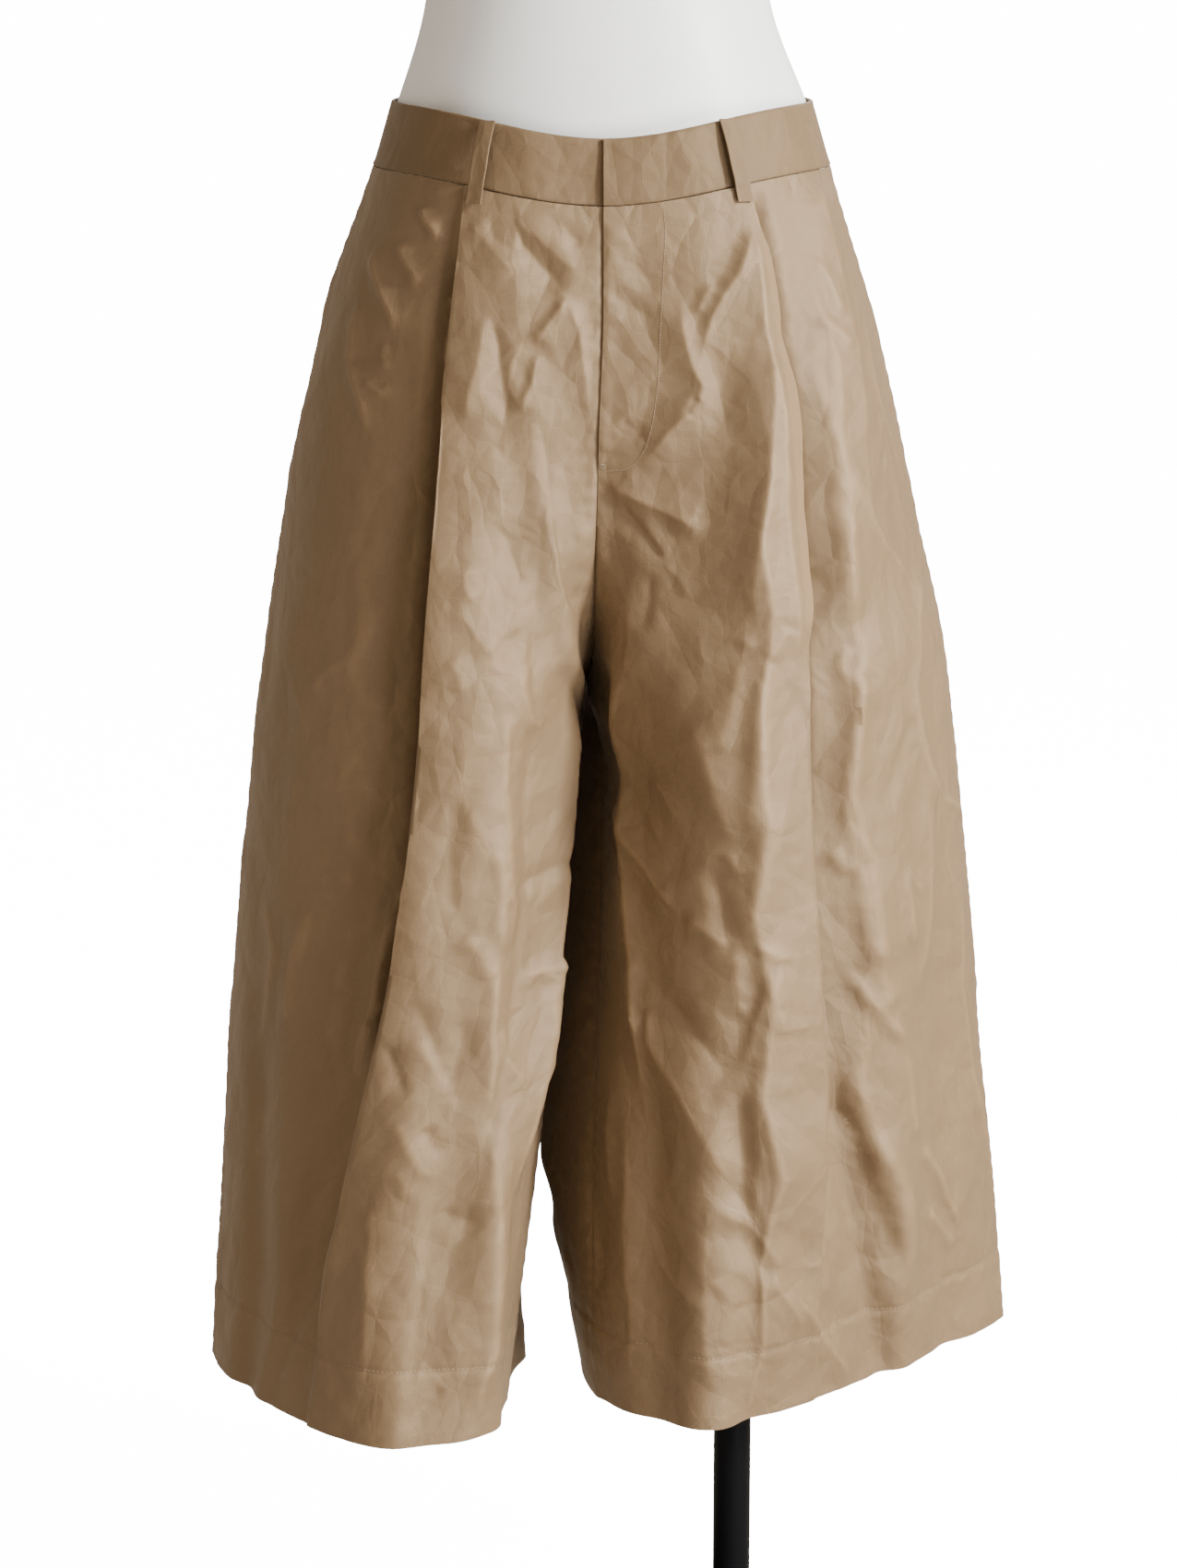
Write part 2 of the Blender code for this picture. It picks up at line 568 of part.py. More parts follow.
def band_row(drop):
    """The band's outer plan line, from the under end round to the over end."""
    line = waist_line(drop)
    total = lengths(line)[-1]
    under = np.array([[BAND_UNDERLAP, line[0, 1]]])
    line = np.vstack([under, line])
    along = np.linspace(0, total + BAND_UNDERLAP, BAND_COLUMNS + 1)
    from_start = along - BAND_UNDERLAP
    to_end = total - from_start
    out = BAND_PROUD - BAND_DIP * (1 - smooth_steps(from_start / BAND_EASE))
    out = out + BAND_LIFT * (1 - smooth_steps(to_end / BAND_EASE))
    return lifted(line, -1, along, out)


def make_band(material):
    rows = []
    for drop in np.linspace(0, BAND_HEIGHT, 4):
        rows.append([(x, y, height_over(drop, x, -1 if y < 0 else 1)) for x, y in band_row(drop)])
    grid = np.array(rows)
    cloth_piece("waistband", grid, outward_normals(grid, True), True, BAND_WALL, material)


# Each loop's x at the top and bottom of the band, and the side of the body it is on.
LOOP_COLUMNS = ("name", "top_x", "bottom_x", "ahead")
LOOPS = (
    ("belt_loop_front_right", -0.0688, -0.0768, -1),
    ("belt_loop_front_left", 0.0732, 0.0839, -1),
    ("belt_loop_back_right", -0.0760, -0.0840, 1),
    ("belt_loop_back_left", 0.0760, 0.0840, 1),
    ("belt_loop_centre_back", 0.0000, 0.0000, 1),
)


def make_loop(name, top_x, bottom_x, ahead, material):
    """A strap sewn in at the band's top edge and on the cloth below it, bowed between."""
    rows = []
    bottom = BAND_HEIGHT + LOOP_BELOW_BAND
    for t in np.linspace(0, 1, 10):
        drop = t * bottom
        middle = top_x + (bottom_x - top_x) * t
        right, left = RIGHT_BARE.half(drop, ahead), LEFT.half(drop, ahead)
        line = np.vstack([right[::-1], left[1:]])
        centre = length_at_x(line, 0)
        row = []
        for a in np.linspace(-LOOP_WIDTH / 2, LOOP_WIDTH / 2, 3):
            at = length_at_x(line, middle + a)
            under = BAND_PROUD
            if ahead < 0 and drop > BAND_HEIGHT - LOOP_STEP:
                leg = LEFT if middle > 0 else RIGHT
                pleat = look_up(PLEAT_COLUMNS, leg.pleat, drop)
                edge = abs(length_at_x(line, pleat["edge_x"]) - centre)
                under = max(under, float(centre_rise(leg, pleat, drop, edge, abs(at - centre))))
            out = under + SEAM_GAP + LOOP_WALL + LOOP_BOW * math.sin(math.pi * min(t / LOOP_BOW_END, 1))
            x, y = lifted(line, -ahead, np.array([at]), np.array([out]))[0]
            row.append((x, y, height_over(drop, x, ahead)))
        rows.append(row)
    grid = np.array(rows)
    flip = ahead > 0
    cloth_piece(name, grid, outward_normals(grid, flip), flip, LOOP_WALL, material)


# ---- The dress form and its stand ------------------------------------------------------------


def make_form(material):
    """The form: closed rings from the hips to the neck, capped flat at both ends."""
    net = bmesh.new()
    rings = []
    for row in FORM:
        part = dict(zip(FORM_COLUMNS, row))
        lean = FORM_LEAN * smooth_steps(part["height"] / 0.45)
        shift = FORM_SHIFT[0] + FORM_SHIFT[1] * smooth_steps(part["height"] / 0.06)
        ring = []
        for i in range(FORM_SIDES):
            angle = 2 * math.pi * i / FORM_SIDES
            c, s = math.cos(angle), math.sin(angle)
            power = 2 / part["squareness"]
            x = part["half_width"] * math.copysign(abs(c) ** power, c) + shift
            depth = part["back"] if s > 0 else part["front"]
            y = depth * math.copysign(abs(s) ** power, s) + lean
            ring.append(net.verts.new((x, y, WAIST_Z + part["height"])))
        rings.append(ring)
    for lower, upper in zip(rings, rings[1:]):
        for i in range(FORM_SIDES):
            j = (i + 1) % FORM_SIDES
            net.faces.new((lower[i], lower[j], upper[j], upper[i]))
    net.faces.new(rings[0][::-1])
    net.faces.new(rings[-1])
    mesh = bpy.data.meshes.new("dress_form")
    net.to_mesh(mesh)
    net.free()
    return add_object("dress_form", mesh, material)


def make_turned(name, profile, centre, sides, material):
    """A ring or disc turned from a closed profile of (radius, height) points."""
    net = bmesh.new()
    corners = [net.verts.new((r, 0, z)) for r, z in profile]
    closed = all(r > 0 for r, _ in profile)
    edges = [net.edges.new(pair) for pair in zip(corners, corners[1:])]
    if closed:
        edges.append(net.edges.new((corners[-1], corners[0])))
    bmesh.ops.spin(
        net, geom=corners + edges, cent=(0, 0, 0), axis=(0, 0, 1),
        angle=2 * math.pi, steps=sides, use_merge=True,
    )
    bmesh.ops.remove_doubles(net, verts=net.verts, dist=0.00002)
    bmesh.ops.recalc_face_normals(net, faces=net.faces)
    mesh = bpy.data.meshes.new(name)
    net.to_mesh(mesh)
    net.free()
    piece = add_object(name, mesh, material)
    piece.location = centre
    return piece


def make_stand(material):
    edge, slope = PLATE_EDGE, COLLAR_SLOPE
    make_turned("base_plate", (
        (0, 0), (BASE_RADIUS - edge, 0), (BASE_RADIUS, edge),
        (BASE_RADIUS, BASE_THICKNESS - edge), (BASE_RADIUS - edge, BASE_THICKNESS),
        (0, BASE_THICKNESS),
    ), (0, 0, 0), 48, material)
    bore = POLE_RADIUS + SEAM_GAP
    foot_z = BASE_THICKNESS + SEAM_GAP
    make_turned("base_collar", (
        (bore, 0), (COLLAR_RADIUS + COLLAR_FOOT[0], 0), (COLLAR_RADIUS + COLLAR_FOOT[0], COLLAR_FOOT[1]),
        (COLLAR_RADIUS, COLLAR_FOOT[1] + slope), (COLLAR_RADIUS, COLLAR_HEIGHT - slope),
        (COLLAR_RADIUS - slope, COLLAR_HEIGHT), (bore, COLLAR_HEIGHT),
    ), (POLE_X, 0, foot_z), 28, material)
    top_z = FORM_BOTTOM_Z - SEAM_GAP
    reach, thick = SOCKET_FLANGE
    make_turned("form_socket", (
        (bore, -SOCKET_DEPTH), (COLLAR_RADIUS, -SOCKET_DEPTH), (COLLAR_RADIUS, -thick),
        (COLLAR_RADIUS + reach, -thick), (COLLAR_RADIUS + reach, 0), (bore, 0),
    ), (POLE_X, 0, top_z), 28, material)
    foot, head = foot_z, top_z - SEAM_GAP
    bpy.ops.mesh.primitive_cylinder_add(
        vertices=28, radius=POLE_RADIUS, depth=head - foot,
        location=(POLE_X, 0, (head + foot) / 2),
    )
    pole = bpy.context.object
    pole.name = "pole"
    pole.data.materials.append(material)
    shade(pole)


# ---- Objects, materials and the whole --------------------------------------------------------


def make_material(name, colour, roughness, metallic=0.0):
    material = bpy.data.materials.new(name)
    material.use_nodes = True
    shader = material.node_tree.nodes["Principled BSDF"]
    shader.inputs["Base Color"].default_value = (*colour, 1)
    shader.inputs["Roughness"].default_value = roughness
    shader.inputs["Metallic"].default_value = metallic
    return material


def shade(piece):
    piece.data.shade_smooth()
    piece.data.set_sharp_from_angle(angle=math.radians(40))


def add_object(name, mesh, material):
    piece = bpy.data.objects.new(name, mesh)
    mesh.materials.append(material)
    bpy.context.collection.objects.link(piece)
    shade(piece)
    return piece


def clear_scene():
    for piece in list(bpy.data.objects):
        bpy.data.objects.remove(piece)


def main():
    clear_scene()
    cloth = make_material("tan_cloth", (0.33, 0.24, 0.15), 0.55)
    shell = make_material("white_form", (0.85, 0.86, 0.88), 0.55)
    steel = make_material("black_steel", (0.012, 0.013, 0.016), 0.35, 0.6)
    for leg in (RIGHT, LEFT):
        make_leg(leg, cloth)
    make_band(cloth)
    for row in LOOPS:
        make_loop(*row, material=cloth)
    make_form(shell)
    make_stand(steel)


main()
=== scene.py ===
"""Wide pleated culottes on a dress form: cloth, stitching, finishes and a small studio.

Metres, +Z up, the front faces -Y. "Right" and "left" are the wearer's. The legs are worked out
from the same section tables as the frame's solids, at finer steps, and then pressed and crumpled.
"""

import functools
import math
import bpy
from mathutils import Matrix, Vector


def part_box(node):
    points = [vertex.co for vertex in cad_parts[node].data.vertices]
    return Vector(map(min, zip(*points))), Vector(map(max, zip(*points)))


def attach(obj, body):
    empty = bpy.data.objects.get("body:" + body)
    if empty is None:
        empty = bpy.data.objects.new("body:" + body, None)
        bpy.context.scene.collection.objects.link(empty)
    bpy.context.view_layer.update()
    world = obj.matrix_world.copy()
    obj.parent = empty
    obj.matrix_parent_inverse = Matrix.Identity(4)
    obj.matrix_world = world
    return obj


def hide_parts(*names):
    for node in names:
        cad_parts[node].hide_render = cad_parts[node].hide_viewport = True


bl_info = {
    "name": "Pleated Culottes",
    "version": (1, 0, 0),
    "blender": (4, 5, 0),
    "location": "3D View > Sidebar > Culottes",
    "description": "Builds pleated culottes on a dress form, piece by piece",
    "category": "Object",
}

import bmesh
import bpy
import numpy as np
from bpy.props import FloatProperty, FloatVectorProperty, IntProperty, PointerProperty
from mathutils import Vector, geometry

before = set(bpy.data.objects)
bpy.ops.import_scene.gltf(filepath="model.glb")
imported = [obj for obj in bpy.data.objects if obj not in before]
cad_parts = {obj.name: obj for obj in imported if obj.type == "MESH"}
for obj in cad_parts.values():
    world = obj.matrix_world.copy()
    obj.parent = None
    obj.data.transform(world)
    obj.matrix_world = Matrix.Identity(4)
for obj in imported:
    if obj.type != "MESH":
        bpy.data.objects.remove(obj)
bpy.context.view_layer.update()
BODY = "root"

# ---- Sizes that the frame's solids also have ----

WAIST_Z = 1.08          # the waistband's top edge at the side seams, above the floor
WAIST_DIP = 0.017       # how far the waist dips at the centre front
DIP_REACH = 0.94        # how far round it dips, as a share of the way to the side
DIP_FADE = 0.32         # how far below the band the cloth still dips
LENGTH = 0.82           # waist edge to hem
BAND_HEIGHT = 0.040
BAND_WALL = 0.0024
CLOTH = 0.0010
SEAM_GAP = 0.0003
FLY_END = 0.205         # drop at which the fly closes
FLY_UNDERLAP = 0.010    # how far the right front runs on under the left one
FLY_LIFT = 0.0020       # how far the doubled cloth over the fly stands out
FLY_WIDTH = 0.045
FLY_EASE = 0.03         # over what length the fly's forms die away
SEAM_LEAD = 0.012       # how far the side seam lies in front of the ring's widest point
SEAM_SWING = (0.15, 0.45)   # from which drop, and over what length, it swings back there
SEAM_REACH = 0.6        # how straight the cloth leaves the centre seam sideways
ROUND = 0.55            # the handle length that makes a quarter of an ellipse
POCKET_TOP = 0.048
POCKET_END = 0.190
POCKET_GAPE = 0.0016
POCKET_EASE = (0.02, 0.03)  # over what length its mouth opens, and closes
LOOP_WIDTH = 0.0105
LOOP_WALL = 0.0012
LOOP_BELOW_BAND = 0.0095
LOOP_BOW = 0.0026       # how far a loop's middle stands off the band
LOOP_BOW_END = 0.86     # the share of its length at which it lies flat again
CROTCH_DROP = 0.375
BAND_PROUD = 0.0008     # how far the band's face stands over the cloth's own line
BAND_UNDERLAP = 0.030

# ---- Section tables, one row for each drop below the waist edge ----

# x and y of the seam that a panel starts from. Above the crotch it is the centre seam, and
# below the crotch the inseam, where front_y and back_y are one. The turns are the directions
# in which the front and back cloth leave it: 0 runs straight outwards, 90 straight forward
# or back.
SEAM_COLUMNS = ("drop", "x", "front_y", "back_y", "front_turn", "back_turn")
RIGHT_SEAM = (
    (0.000, 0.0000, -0.1045, 0.0985, 0, 0),
    (0.040, 0.0000, -0.1090, 0.1060, 0, 0),
    (0.100, 0.0000, -0.1160, 0.1200, 0, 0),
    (0.180, -0.0025, -0.1210, 0.1300, 4, 4),
    (0.240, -0.0040, -0.1190, 0.1285, 16, 14),
    (0.290, -0.0055, -0.1050, 0.1120, 42, 36),
    (0.335, -0.0065, -0.0710, 0.0760, 72, 66),
    (CROTCH_DROP, -0.0100, 0.0040, 0.0040, 88, 80),
    (0.420, -0.0165, -0.0150, -0.0150, 90, 74),
    (0.520, -0.0268, -0.0420, -0.0420, 88, 70),
    (0.620, -0.0352, -0.0650, -0.0650, 86, 76),
    (0.720, -0.0478, -0.0880, -0.0880, 84, 82),
    (LENGTH, -0.0615, -0.1050, -0.1050, 82, 86),
)
LEFT_SEAM = (
    *RIGHT_SEAM[:7],
    (CROTCH_DROP, -0.0085, 0.0040, 0.0040, 88, 98),
    (0.420, 0.0000, -0.0260, -0.0260, 86, 130),
    (0.520, -0.0015, -0.0620, -0.0620, 80, 125),
    (0.620, -0.0055, -0.0850, -0.0850, 74, 124),
    (0.720, -0.0068, -0.0990, -0.0990, 64, 128),
    (0.770, -0.0059, -0.1051, -0.1051, 58, 114),
    (LENGTH, -0.0045, -0.1110, -0.1110, 52, 105),
)

# The ring's front point, side point and back point, and how full its corners are between the
# seam and the front point and between the front and side points (0.55 is an ellipse).
OUTLINE_COLUMNS = (
    "drop", "front_x", "front_y", "side_x", "side_y", "back_x", "back_y", "inner_full", "side_full",
)
RIGHT_OUTLINE = (
    (0.000, -0.030, -0.1045, -0.1315, 0.000, -0.030, 0.0985, 0.55, 0.55),
    (0.040, -0.032, -0.1090, -0.1440, 0.000, -0.034, 0.1060, 0.55, 0.55),
    (0.100, -0.036, -0.1170, -0.1664, 0.002, -0.045, 0.1210, 0.55, 0.55),
    (0.180, -0.050, -0.1270, -0.1879, 0.006, -0.060, 0.1340, 0.55, 0.55),
    (0.260, -0.064, -0.1370, -0.2048, 0.010, -0.074, 0.1430, 0.55, 0.54),
    (0.340, -0.074, -0.1460, -0.2177, 0.014, -0.086, 0.1500, 0.55, 0.53),
    (0.420, -0.080, -0.1530, -0.2280, 0.018, -0.096, 0.1560, 0.56, 0.51),
    (0.520, -0.090, -0.1640, -0.2395, 0.022, -0.110, 0.1640, 0.60, 0.47),
    (0.620, -0.102, -0.1760, -0.2480, 0.016, -0.124, 0.1720, 0.66, 0.41),
    (0.720, -0.115, -0.1880, -0.2540, 0.000, -0.138, 0.1790, 0.72, 0.35),
    (LENGTH, -0.128, -0.2000, -0.2590, -0.025, -0.150, 0.1850, 0.76, 0.30),
)
LEFT_OUTLINE = (
    (0.000, 0.030, -0.1045, 0.1305, 0.000, 0.030, 0.0985, 0.55, 0.55),
    (0.040, 0.032, -0.1090, 0.1425, 0.000, 0.034, 0.1060, 0.55, 0.55),
    (0.100, 0.036, -0.1170, 0.1610, 0.002, 0.045, 0.1210, 0.55, 0.55),
    (0.180, 0.050, -0.1270, 0.1836, 0.006, 0.060, 0.1340, 0.55, 0.55),
    (0.260, 0.062, -0.1350, 0.2010, 0.010, 0.074, 0.1430, 0.55, 0.54),
    (0.340, 0.072, -0.1420, 0.2200, 0.014, 0.088, 0.1500, 0.55, 0.52),
    (0.420, 0.078, -0.1460, 0.2310, 0.018, 0.098, 0.1560, 0.55, 0.49),
    (0.520, 0.080, -0.1500, 0.2425, 0.022, 0.108, 0.1630, 0.55, 0.42),
    (0.620, 0.079, -0.1540, 0.2515, 0.026, 0.116, 0.1690, 0.55, 0.33),
    (0.720, 0.075, -0.1590, 0.2640, 0.034, 0.122, 0.1740, 0.55, 0.23),
    (LENGTH, 0.070, -0.1625, 0.2735, 0.040, 0.126, 0.1780, 0.55, 0.14),
)

# The pleat: where its folded edge lies, how far the cloth runs back under it (less than nothing
# where it has fallen open), how far the edge stands out and how far the cloth beside it sinks in.
PLEAT_COLUMNS = ("drop", "edge_x", "tuck", "lift", "sink")
RIGHT_PLEAT = (
    (0.040, -0.0836, 0.034, 0.0030, 0.0000),
    (0.100, -0.0897, 0.033, 0.0045, 0.0010),
    (0.180, -0.0965, 0.030, 0.0080, 0.0040),
    (0.260, -0.1020, 0.026, 0.0115, 0.0080),
    (0.340, -0.1070, 0.022, 0.0145, 0.0120),
    (0.420, -0.1133, 0.018, 0.0160, 0.0150),
    (0.520, -0.1257, 0.012, 0.0170, 0.0160),
    (0.620, -0.1462, 0.003, 0.0150, 0.0150),
    (0.720, -0.1700, -0.018, 0.0070, 0.0080),
    (LENGTH, -0.1860, -0.040, 0.0015, 0.0010),
)
LEFT_PLEAT = (
    (0.040, 0.0883, 0.034, 0.0030, 0.0000),
    (0.100, 0.0983, 0.033, 0.0045, 0.0010),
    (0.180, 0.1085, 0.030, 0.0075, 0.0035),
    (0.260, 0.1150, 0.026, 0.0105, 0.0065),
    (0.340, 0.1220, 0.022, 0.0130, 0.0090),
    (0.420, 0.1238, 0.019, 0.0145, 0.0110),
    (0.520, 0.1292, 0.014, 0.0150, 0.0120),
    (0.620, 0.1345, 0.006, 0.0140, 0.0110),
    (0.720, 0.1360, -0.012, 0.0070, 0.0060),
    (LENGTH, 0.1360, -0.034, 0.0015, 0.0015),
)

# Soft folds down the cloth: the side of the pleat they are on, x at their top and bottom, the
# drops of these, how wide they are from crest to flat, and how far they stand out (or in, if
# negative).
FOLDS = (
    ("front_right.centre", -0.048, -0.014, 0.12, 0.40, 0.012, 0.006),
    ("front_right.centre", -0.064, -0.079, 0.40, 1.20, 0.016, 0.006),
    ("front_right.centre", -0.078, -0.110, 0.30, 0.90, 0.018, -0.005),
    ("front_right.side", -0.140, -0.178, 0.44, 0.84, 0.010, 0.006),
    ("front_right.side", -0.196, -0.214, 0.40, 1.00, 0.020, 0.006),
    ("front_right.side", -0.218, -0.238, 0.45, 1.00, 0.014, -0.005),
    ("front_left.centre", 0.022, 0.040, 0.34, 0.95, 0.020, -0.007),
    ("front_left.centre", 0.060, 0.062, 0.42, 1.00, 0.024, 0.007),
    ("front_left.centre", 0.086, 0.098, 0.40, 0.95, 0.016, -0.006),
    ("front_left.side", 0.176, 0.196, 0.28, 0.95, 0.018, 0.007),
    ("front_left.side", 0.140, 0.195, 0.56, 0.88, 0.012, -0.007),
    ("front_left.side", 0.215, 0.240, 0.40, 1.00, 0.014, -0.005),
    ("back_right.whole", -0.060, -0.070, 0.22, 1.00, 0.028, 0.015),
    ("back_right.whole", -0.110, -0.128, 0.26, 1.00, 0.026, -0.015),
    ("back_right.whole", -0.160, -0.190, 0.22, 1.00, 0.026, 0.015),
    ("back_right.whole", -0.205, -0.235, 0.34, 1.00, 0.018, -0.009),
    ("back_right.whole", -0.256, -0.256, 0.74, 0.90, 0.014, 0.0065),
    ("back_left.whole", 0.050, 0.064, 0.24, 1.00, 0.028, 0.014),
    ("back_left.whole", 0.100, 0.118, 0.22, 1.00, 0.026, -0.016),
    ("back_left.whole", 0.150, 0.180, 0.26, 1.00, 0.026, 0.015),
    ("back_left.whole", 0.196, 0.228, 0.34, 1.00, 0.020, -0.009),
    ("back_left.whole", -0.045, -0.045, 0.42, 0.722, 0.036, 0.0085),
)

# Each loop's name, x at its top and bottom, and side of the body: -1 is the front, 1 the back.
LOOPS = (
    ("belt_loop_front_right", -0.0688, -0.0768, -1),
    ("belt_loop_front_left", 0.0732, 0.0839, -1),
    ("belt_loop_back_right", -0.0760, -0.0840, 1),
    ("belt_loop_back_left", 0.0760, 0.0840, 1),
    ("belt_loop_centre_back", 0.0000, 0.0000, 1),
)

# ---- Sizes of the finer pieces ----

CLOTH_ROWS = 430
ROWS_ABOVE_CROTCH = 0.48    # the share of them that lies over the crotch
FRONT_COLUMNS = (86, 14, 74)    # before the pleat's edge, through its fold, and on to the side
SIDE_CROWDING = 1.5     # how much closer the last of them lie at the side seam
BACK_COLUMNS = 140
BAND_COLUMNS = 420
BAND_ROWS = 26
BAND_EDGE = 0.004       # its facets die away over this length at its two edges
BAND_FACETS = (0.024, 0.0008)   # their size and height
BAND_DIP = 0.0010       # how far the under end goes in, and the over end stands out
BAND_LIFT = 0.0020
BAND_EASE = 0.05        # over what length
LOOP_ROWS = 40
LOOP_FLATS = 17         # points across its face
LOOP_STITCH_IN = 0.0016     # the loop's stitched lines, in from its edges
LOOP_GROOVE = (0.0006, 0.0010)  # how deep and how wide the stitches pull in
LOOP_RAMP = 0.014       # how far above the band's lower edge it begins to rise over the cloth
FACING_WIDTH = 0.016    # in front of the seam
FACING_PAST = 0.009     # and behind it
FACING_PAST_ENDS = (0.004, 0.010)   # over and under the pocket's mouth
FACING_DEPTH = 0.0022
FACING_GRID = (60, 8)   # points down it and across it
ALLOWANCE = np.array([0.006, 0.004, 0.002, 0.0])    # places across it, the seam coming last
ALLOWANCE_INSET = 0.003

# Soft forms of the cloth
FOLD_ENDS = (0.45, 0.12)    # the shares of a fold's length over which it grows and dies away
PLEAT_RISE = 0.25       # where the cloth begins to rise towards the pleat, as a share of the way
PLEAT_FALL = 0.75       # how far it goes on sinking behind it, as a share of the way
PLEAT_LAYERS = 2.8      # how thick its layers are together, in cloth thicknesses
PLEAT_MIDDLE = 0.35     # where its middle layer lies, as a share of the room between the others
PLEAT_ROUND = (0.0006, 0.0016)  # how round its edge is at the top, and how much more below
PLEAT_SOFTENS = (0.30, 0.45)    # from which drop, and over what length
PLEAT_ROOM = (0.65, 0.0002, 0.004)  # share of the layers' room, spare room, and more beside it
PLEAT_BESIDE = 0.012    # how far beside its fold the cloth is kept off it
PLEAT_POINTS = (120, 90)    # along the cloth before its edge, and behind its fold
SIDE_FOLD_START = 0.03  # how far behind it the side's folds reach their full height
OPEN_PLEAT = 0.02       # how far it falls open before its back shows
OPEN_EDGE = 0.004       # over what length it comes into view

# What pressing and sewing do to the cloth: how deep and how wide
BAND_GRIP = 0.022       # how far below the band the cloth is held smooth
SEAM_GRIP = 0.014       # how far beside a seam
CROTCH_GRIP = 0.09      # how far below the crotch the inseam's hold grows
HEM_DEPTH = 0.048
HEM_STEP = (0.0004, 0.004)      # where the turned-up hem thickens the cloth
HEM_GROOVE = (0.0005, 0.0016)
HEM_PUCKER = (0.00016, 0.007)
HEM_WAVE = (0.0024, 2.5, 0.023)     # a pucker's length, how it wanders and over what length
SEAM_PUCKER = (0.00022, 0.005)
SEAM_WAVE = (0.0021, 2.2, 0.017)
SEAM_GROOVE = (0.0005, 0.0018)
RIDGE = (4, 0.0004)     # blurs that tell ridges from the soft form, and a full ridge's height

CREASE_FADE = 0.22      # the share of a crease's length over which each end dies away
CREASE_TIP = 0.0004     # how round its top is
CREASE_POWER = 1.6      # how its sides hollow out
CRUMPLES = ((0.050, 0.0022), (0.024, 0.0011), (0.011, 0.0003))  # the facets' size and height
CRUMPLE_STRETCH = 1.5   # how much longer the facets are down the cloth than across it
CRUMPLE_SCATTER = 0.42  # how far their corners stray, in their own sizes
CRUMPLE_APART = 0.5     # keeps the facets on the pleat's two sides apart
CRUMPLE_SEEDS = {
    "front_right": 11, "front_left": 23, "back_right": 37, "back_left": 41, "waistband": 53,
}

# The smallest crinkles, made in the finish: their size, how much longer they are down the cloth
# than across it, and how steep they are.
CRINKLES = ((0.034, 0.7, 0.085), (0.012, 0.8, 0.050))
THREAD_PITCH = 0.00062  # of the weave
THREAD_RISE = 0.000036  # how high its threads stand
WARP_GRAIN = (1500.0, 45.0, 1.0)    # its uneven threads, to the metre across the cloth and down it
WEFT_GRAIN = (40.0, 1300.0, 1.0)
CRINKLE_WANDER = (30.0, 0.012)  # how tight the waves are that bend the crinkles, and how far
GLOSS_TINT = (1.0, 0.86, 0.68, 1)
SHEEN_TINT = (1.0, 0.88, 0.72, 1)
THREAD_RADIUS = 0.00028
FINE_RADIUS = THREAD_RADIUS * 0.9
STITCH_SIDES = 6
STITCH_PROFILE = ((-0.5, 0.25), (-0.3, 0.85), (0.0, 1.0), (0.3, 0.85), (0.5, 0.25))
STITCH_SINK = 0.35      # how far a stitch's middle is over the cloth, in its own radii
FLY_PITCH = 0.0019
HEM_PITCH = 0.0030
LOOP_PITCH = 0.0021
STITCH_SHARE = 0.72     # how much of its pitch a stitch fills
HEM_STITCH_SHARE = 0.6
TACK_WIDTH = 0.0050
TACK_STITCHES = 7
TACK_PITCH = 0.0005
TACK_SLANT = 0.0002
FLY_LINE = (
    (-0.0555, 0.0440), (-0.0565, 0.0554), (-0.0626, 0.0850), (-0.0689, 0.1173), (-0.0761, 0.1590),
    (-0.0871, 0.1949), (-0.1009, 0.2074), (-0.1145, 0.2090),
)
FLY_TACK = (-0.1150, 0.2060)  # its middle, as a place across the panel and a drop

POLE_X = 0.088
POLE_RADIUS = 0.0125
BASE_RADIUS = 0.170
BASE_THICKNESS = 0.010
COLLAR_RADIUS = 0.021
COLLAR_HEIGHT = 0.032
COLLAR_FLANGE = (0.006, 0.005)  # how far its flange stands out, and how thick it is
SOCKET_HEIGHT = 0.044
SOCKET_FLANGE = (0.018, 0.006)
POLE_EDGE = 0.0006      # how round each piece's rims are
BASE_EDGE = 0.0025
SLEEVE_EDGE = 0.0012
FORM_RIMS = 0.75        # how crisp the form's two flat ends stay when it is smoothed
BORE_RADIUS = POLE_RADIUS + SEAM_GAP
STAND_SIDES = 64
NEAR = 0.0001           # what counts as the same place when faces and edges are picked

FLOOR_SIZE = 14.0
FLOOR_SWEEP = (0.6, 0.2)    # how high it rises behind, and its bend's radius, as shares of it
FLOOR_GAP = 0.0005      # how far it lies under the base
CAMERA_PLACE = (-0.009, -2.6, 1.24)
CAMERA_DOWN = 13.0
CAMERA_LENS = 94.17
CAMERA_SENSOR = 36.0
# Each light's name, place, what it points at, width and height, power and colour.
LAMPS = (
    ("window_light", (2.47, -1.55, 2.17), (0.0, 0.0, 0.80), (0.5, 0.6), 243.0, (1.0, 0.96, 0.90)),
    ("side_light", (3.10, -0.90, 0.95), (0.0, 0.0, 0.78), (1.2, 1.5), 50.0, (1.0, 0.90, 0.74)),
    ("bounce_light", (1.25, -1.75, 0.35), (0.0, 0.0, 0.85), (1.0, 1.0), 42.0, (1.0, 0.95, 0.90)),
    ("room_light", (-1.9, -1.9, 0.60), (0.0, 0.0, 0.80), (1.4, 1.4), 7.0, (1.0, 0.70, 0.45)),
    ("back_light", (0.8, 2.6, 2.4), (0.0, 0.0, 0.9), (2.0, 1.5), 36.0, (1.0, 0.98, 0.95)),
)

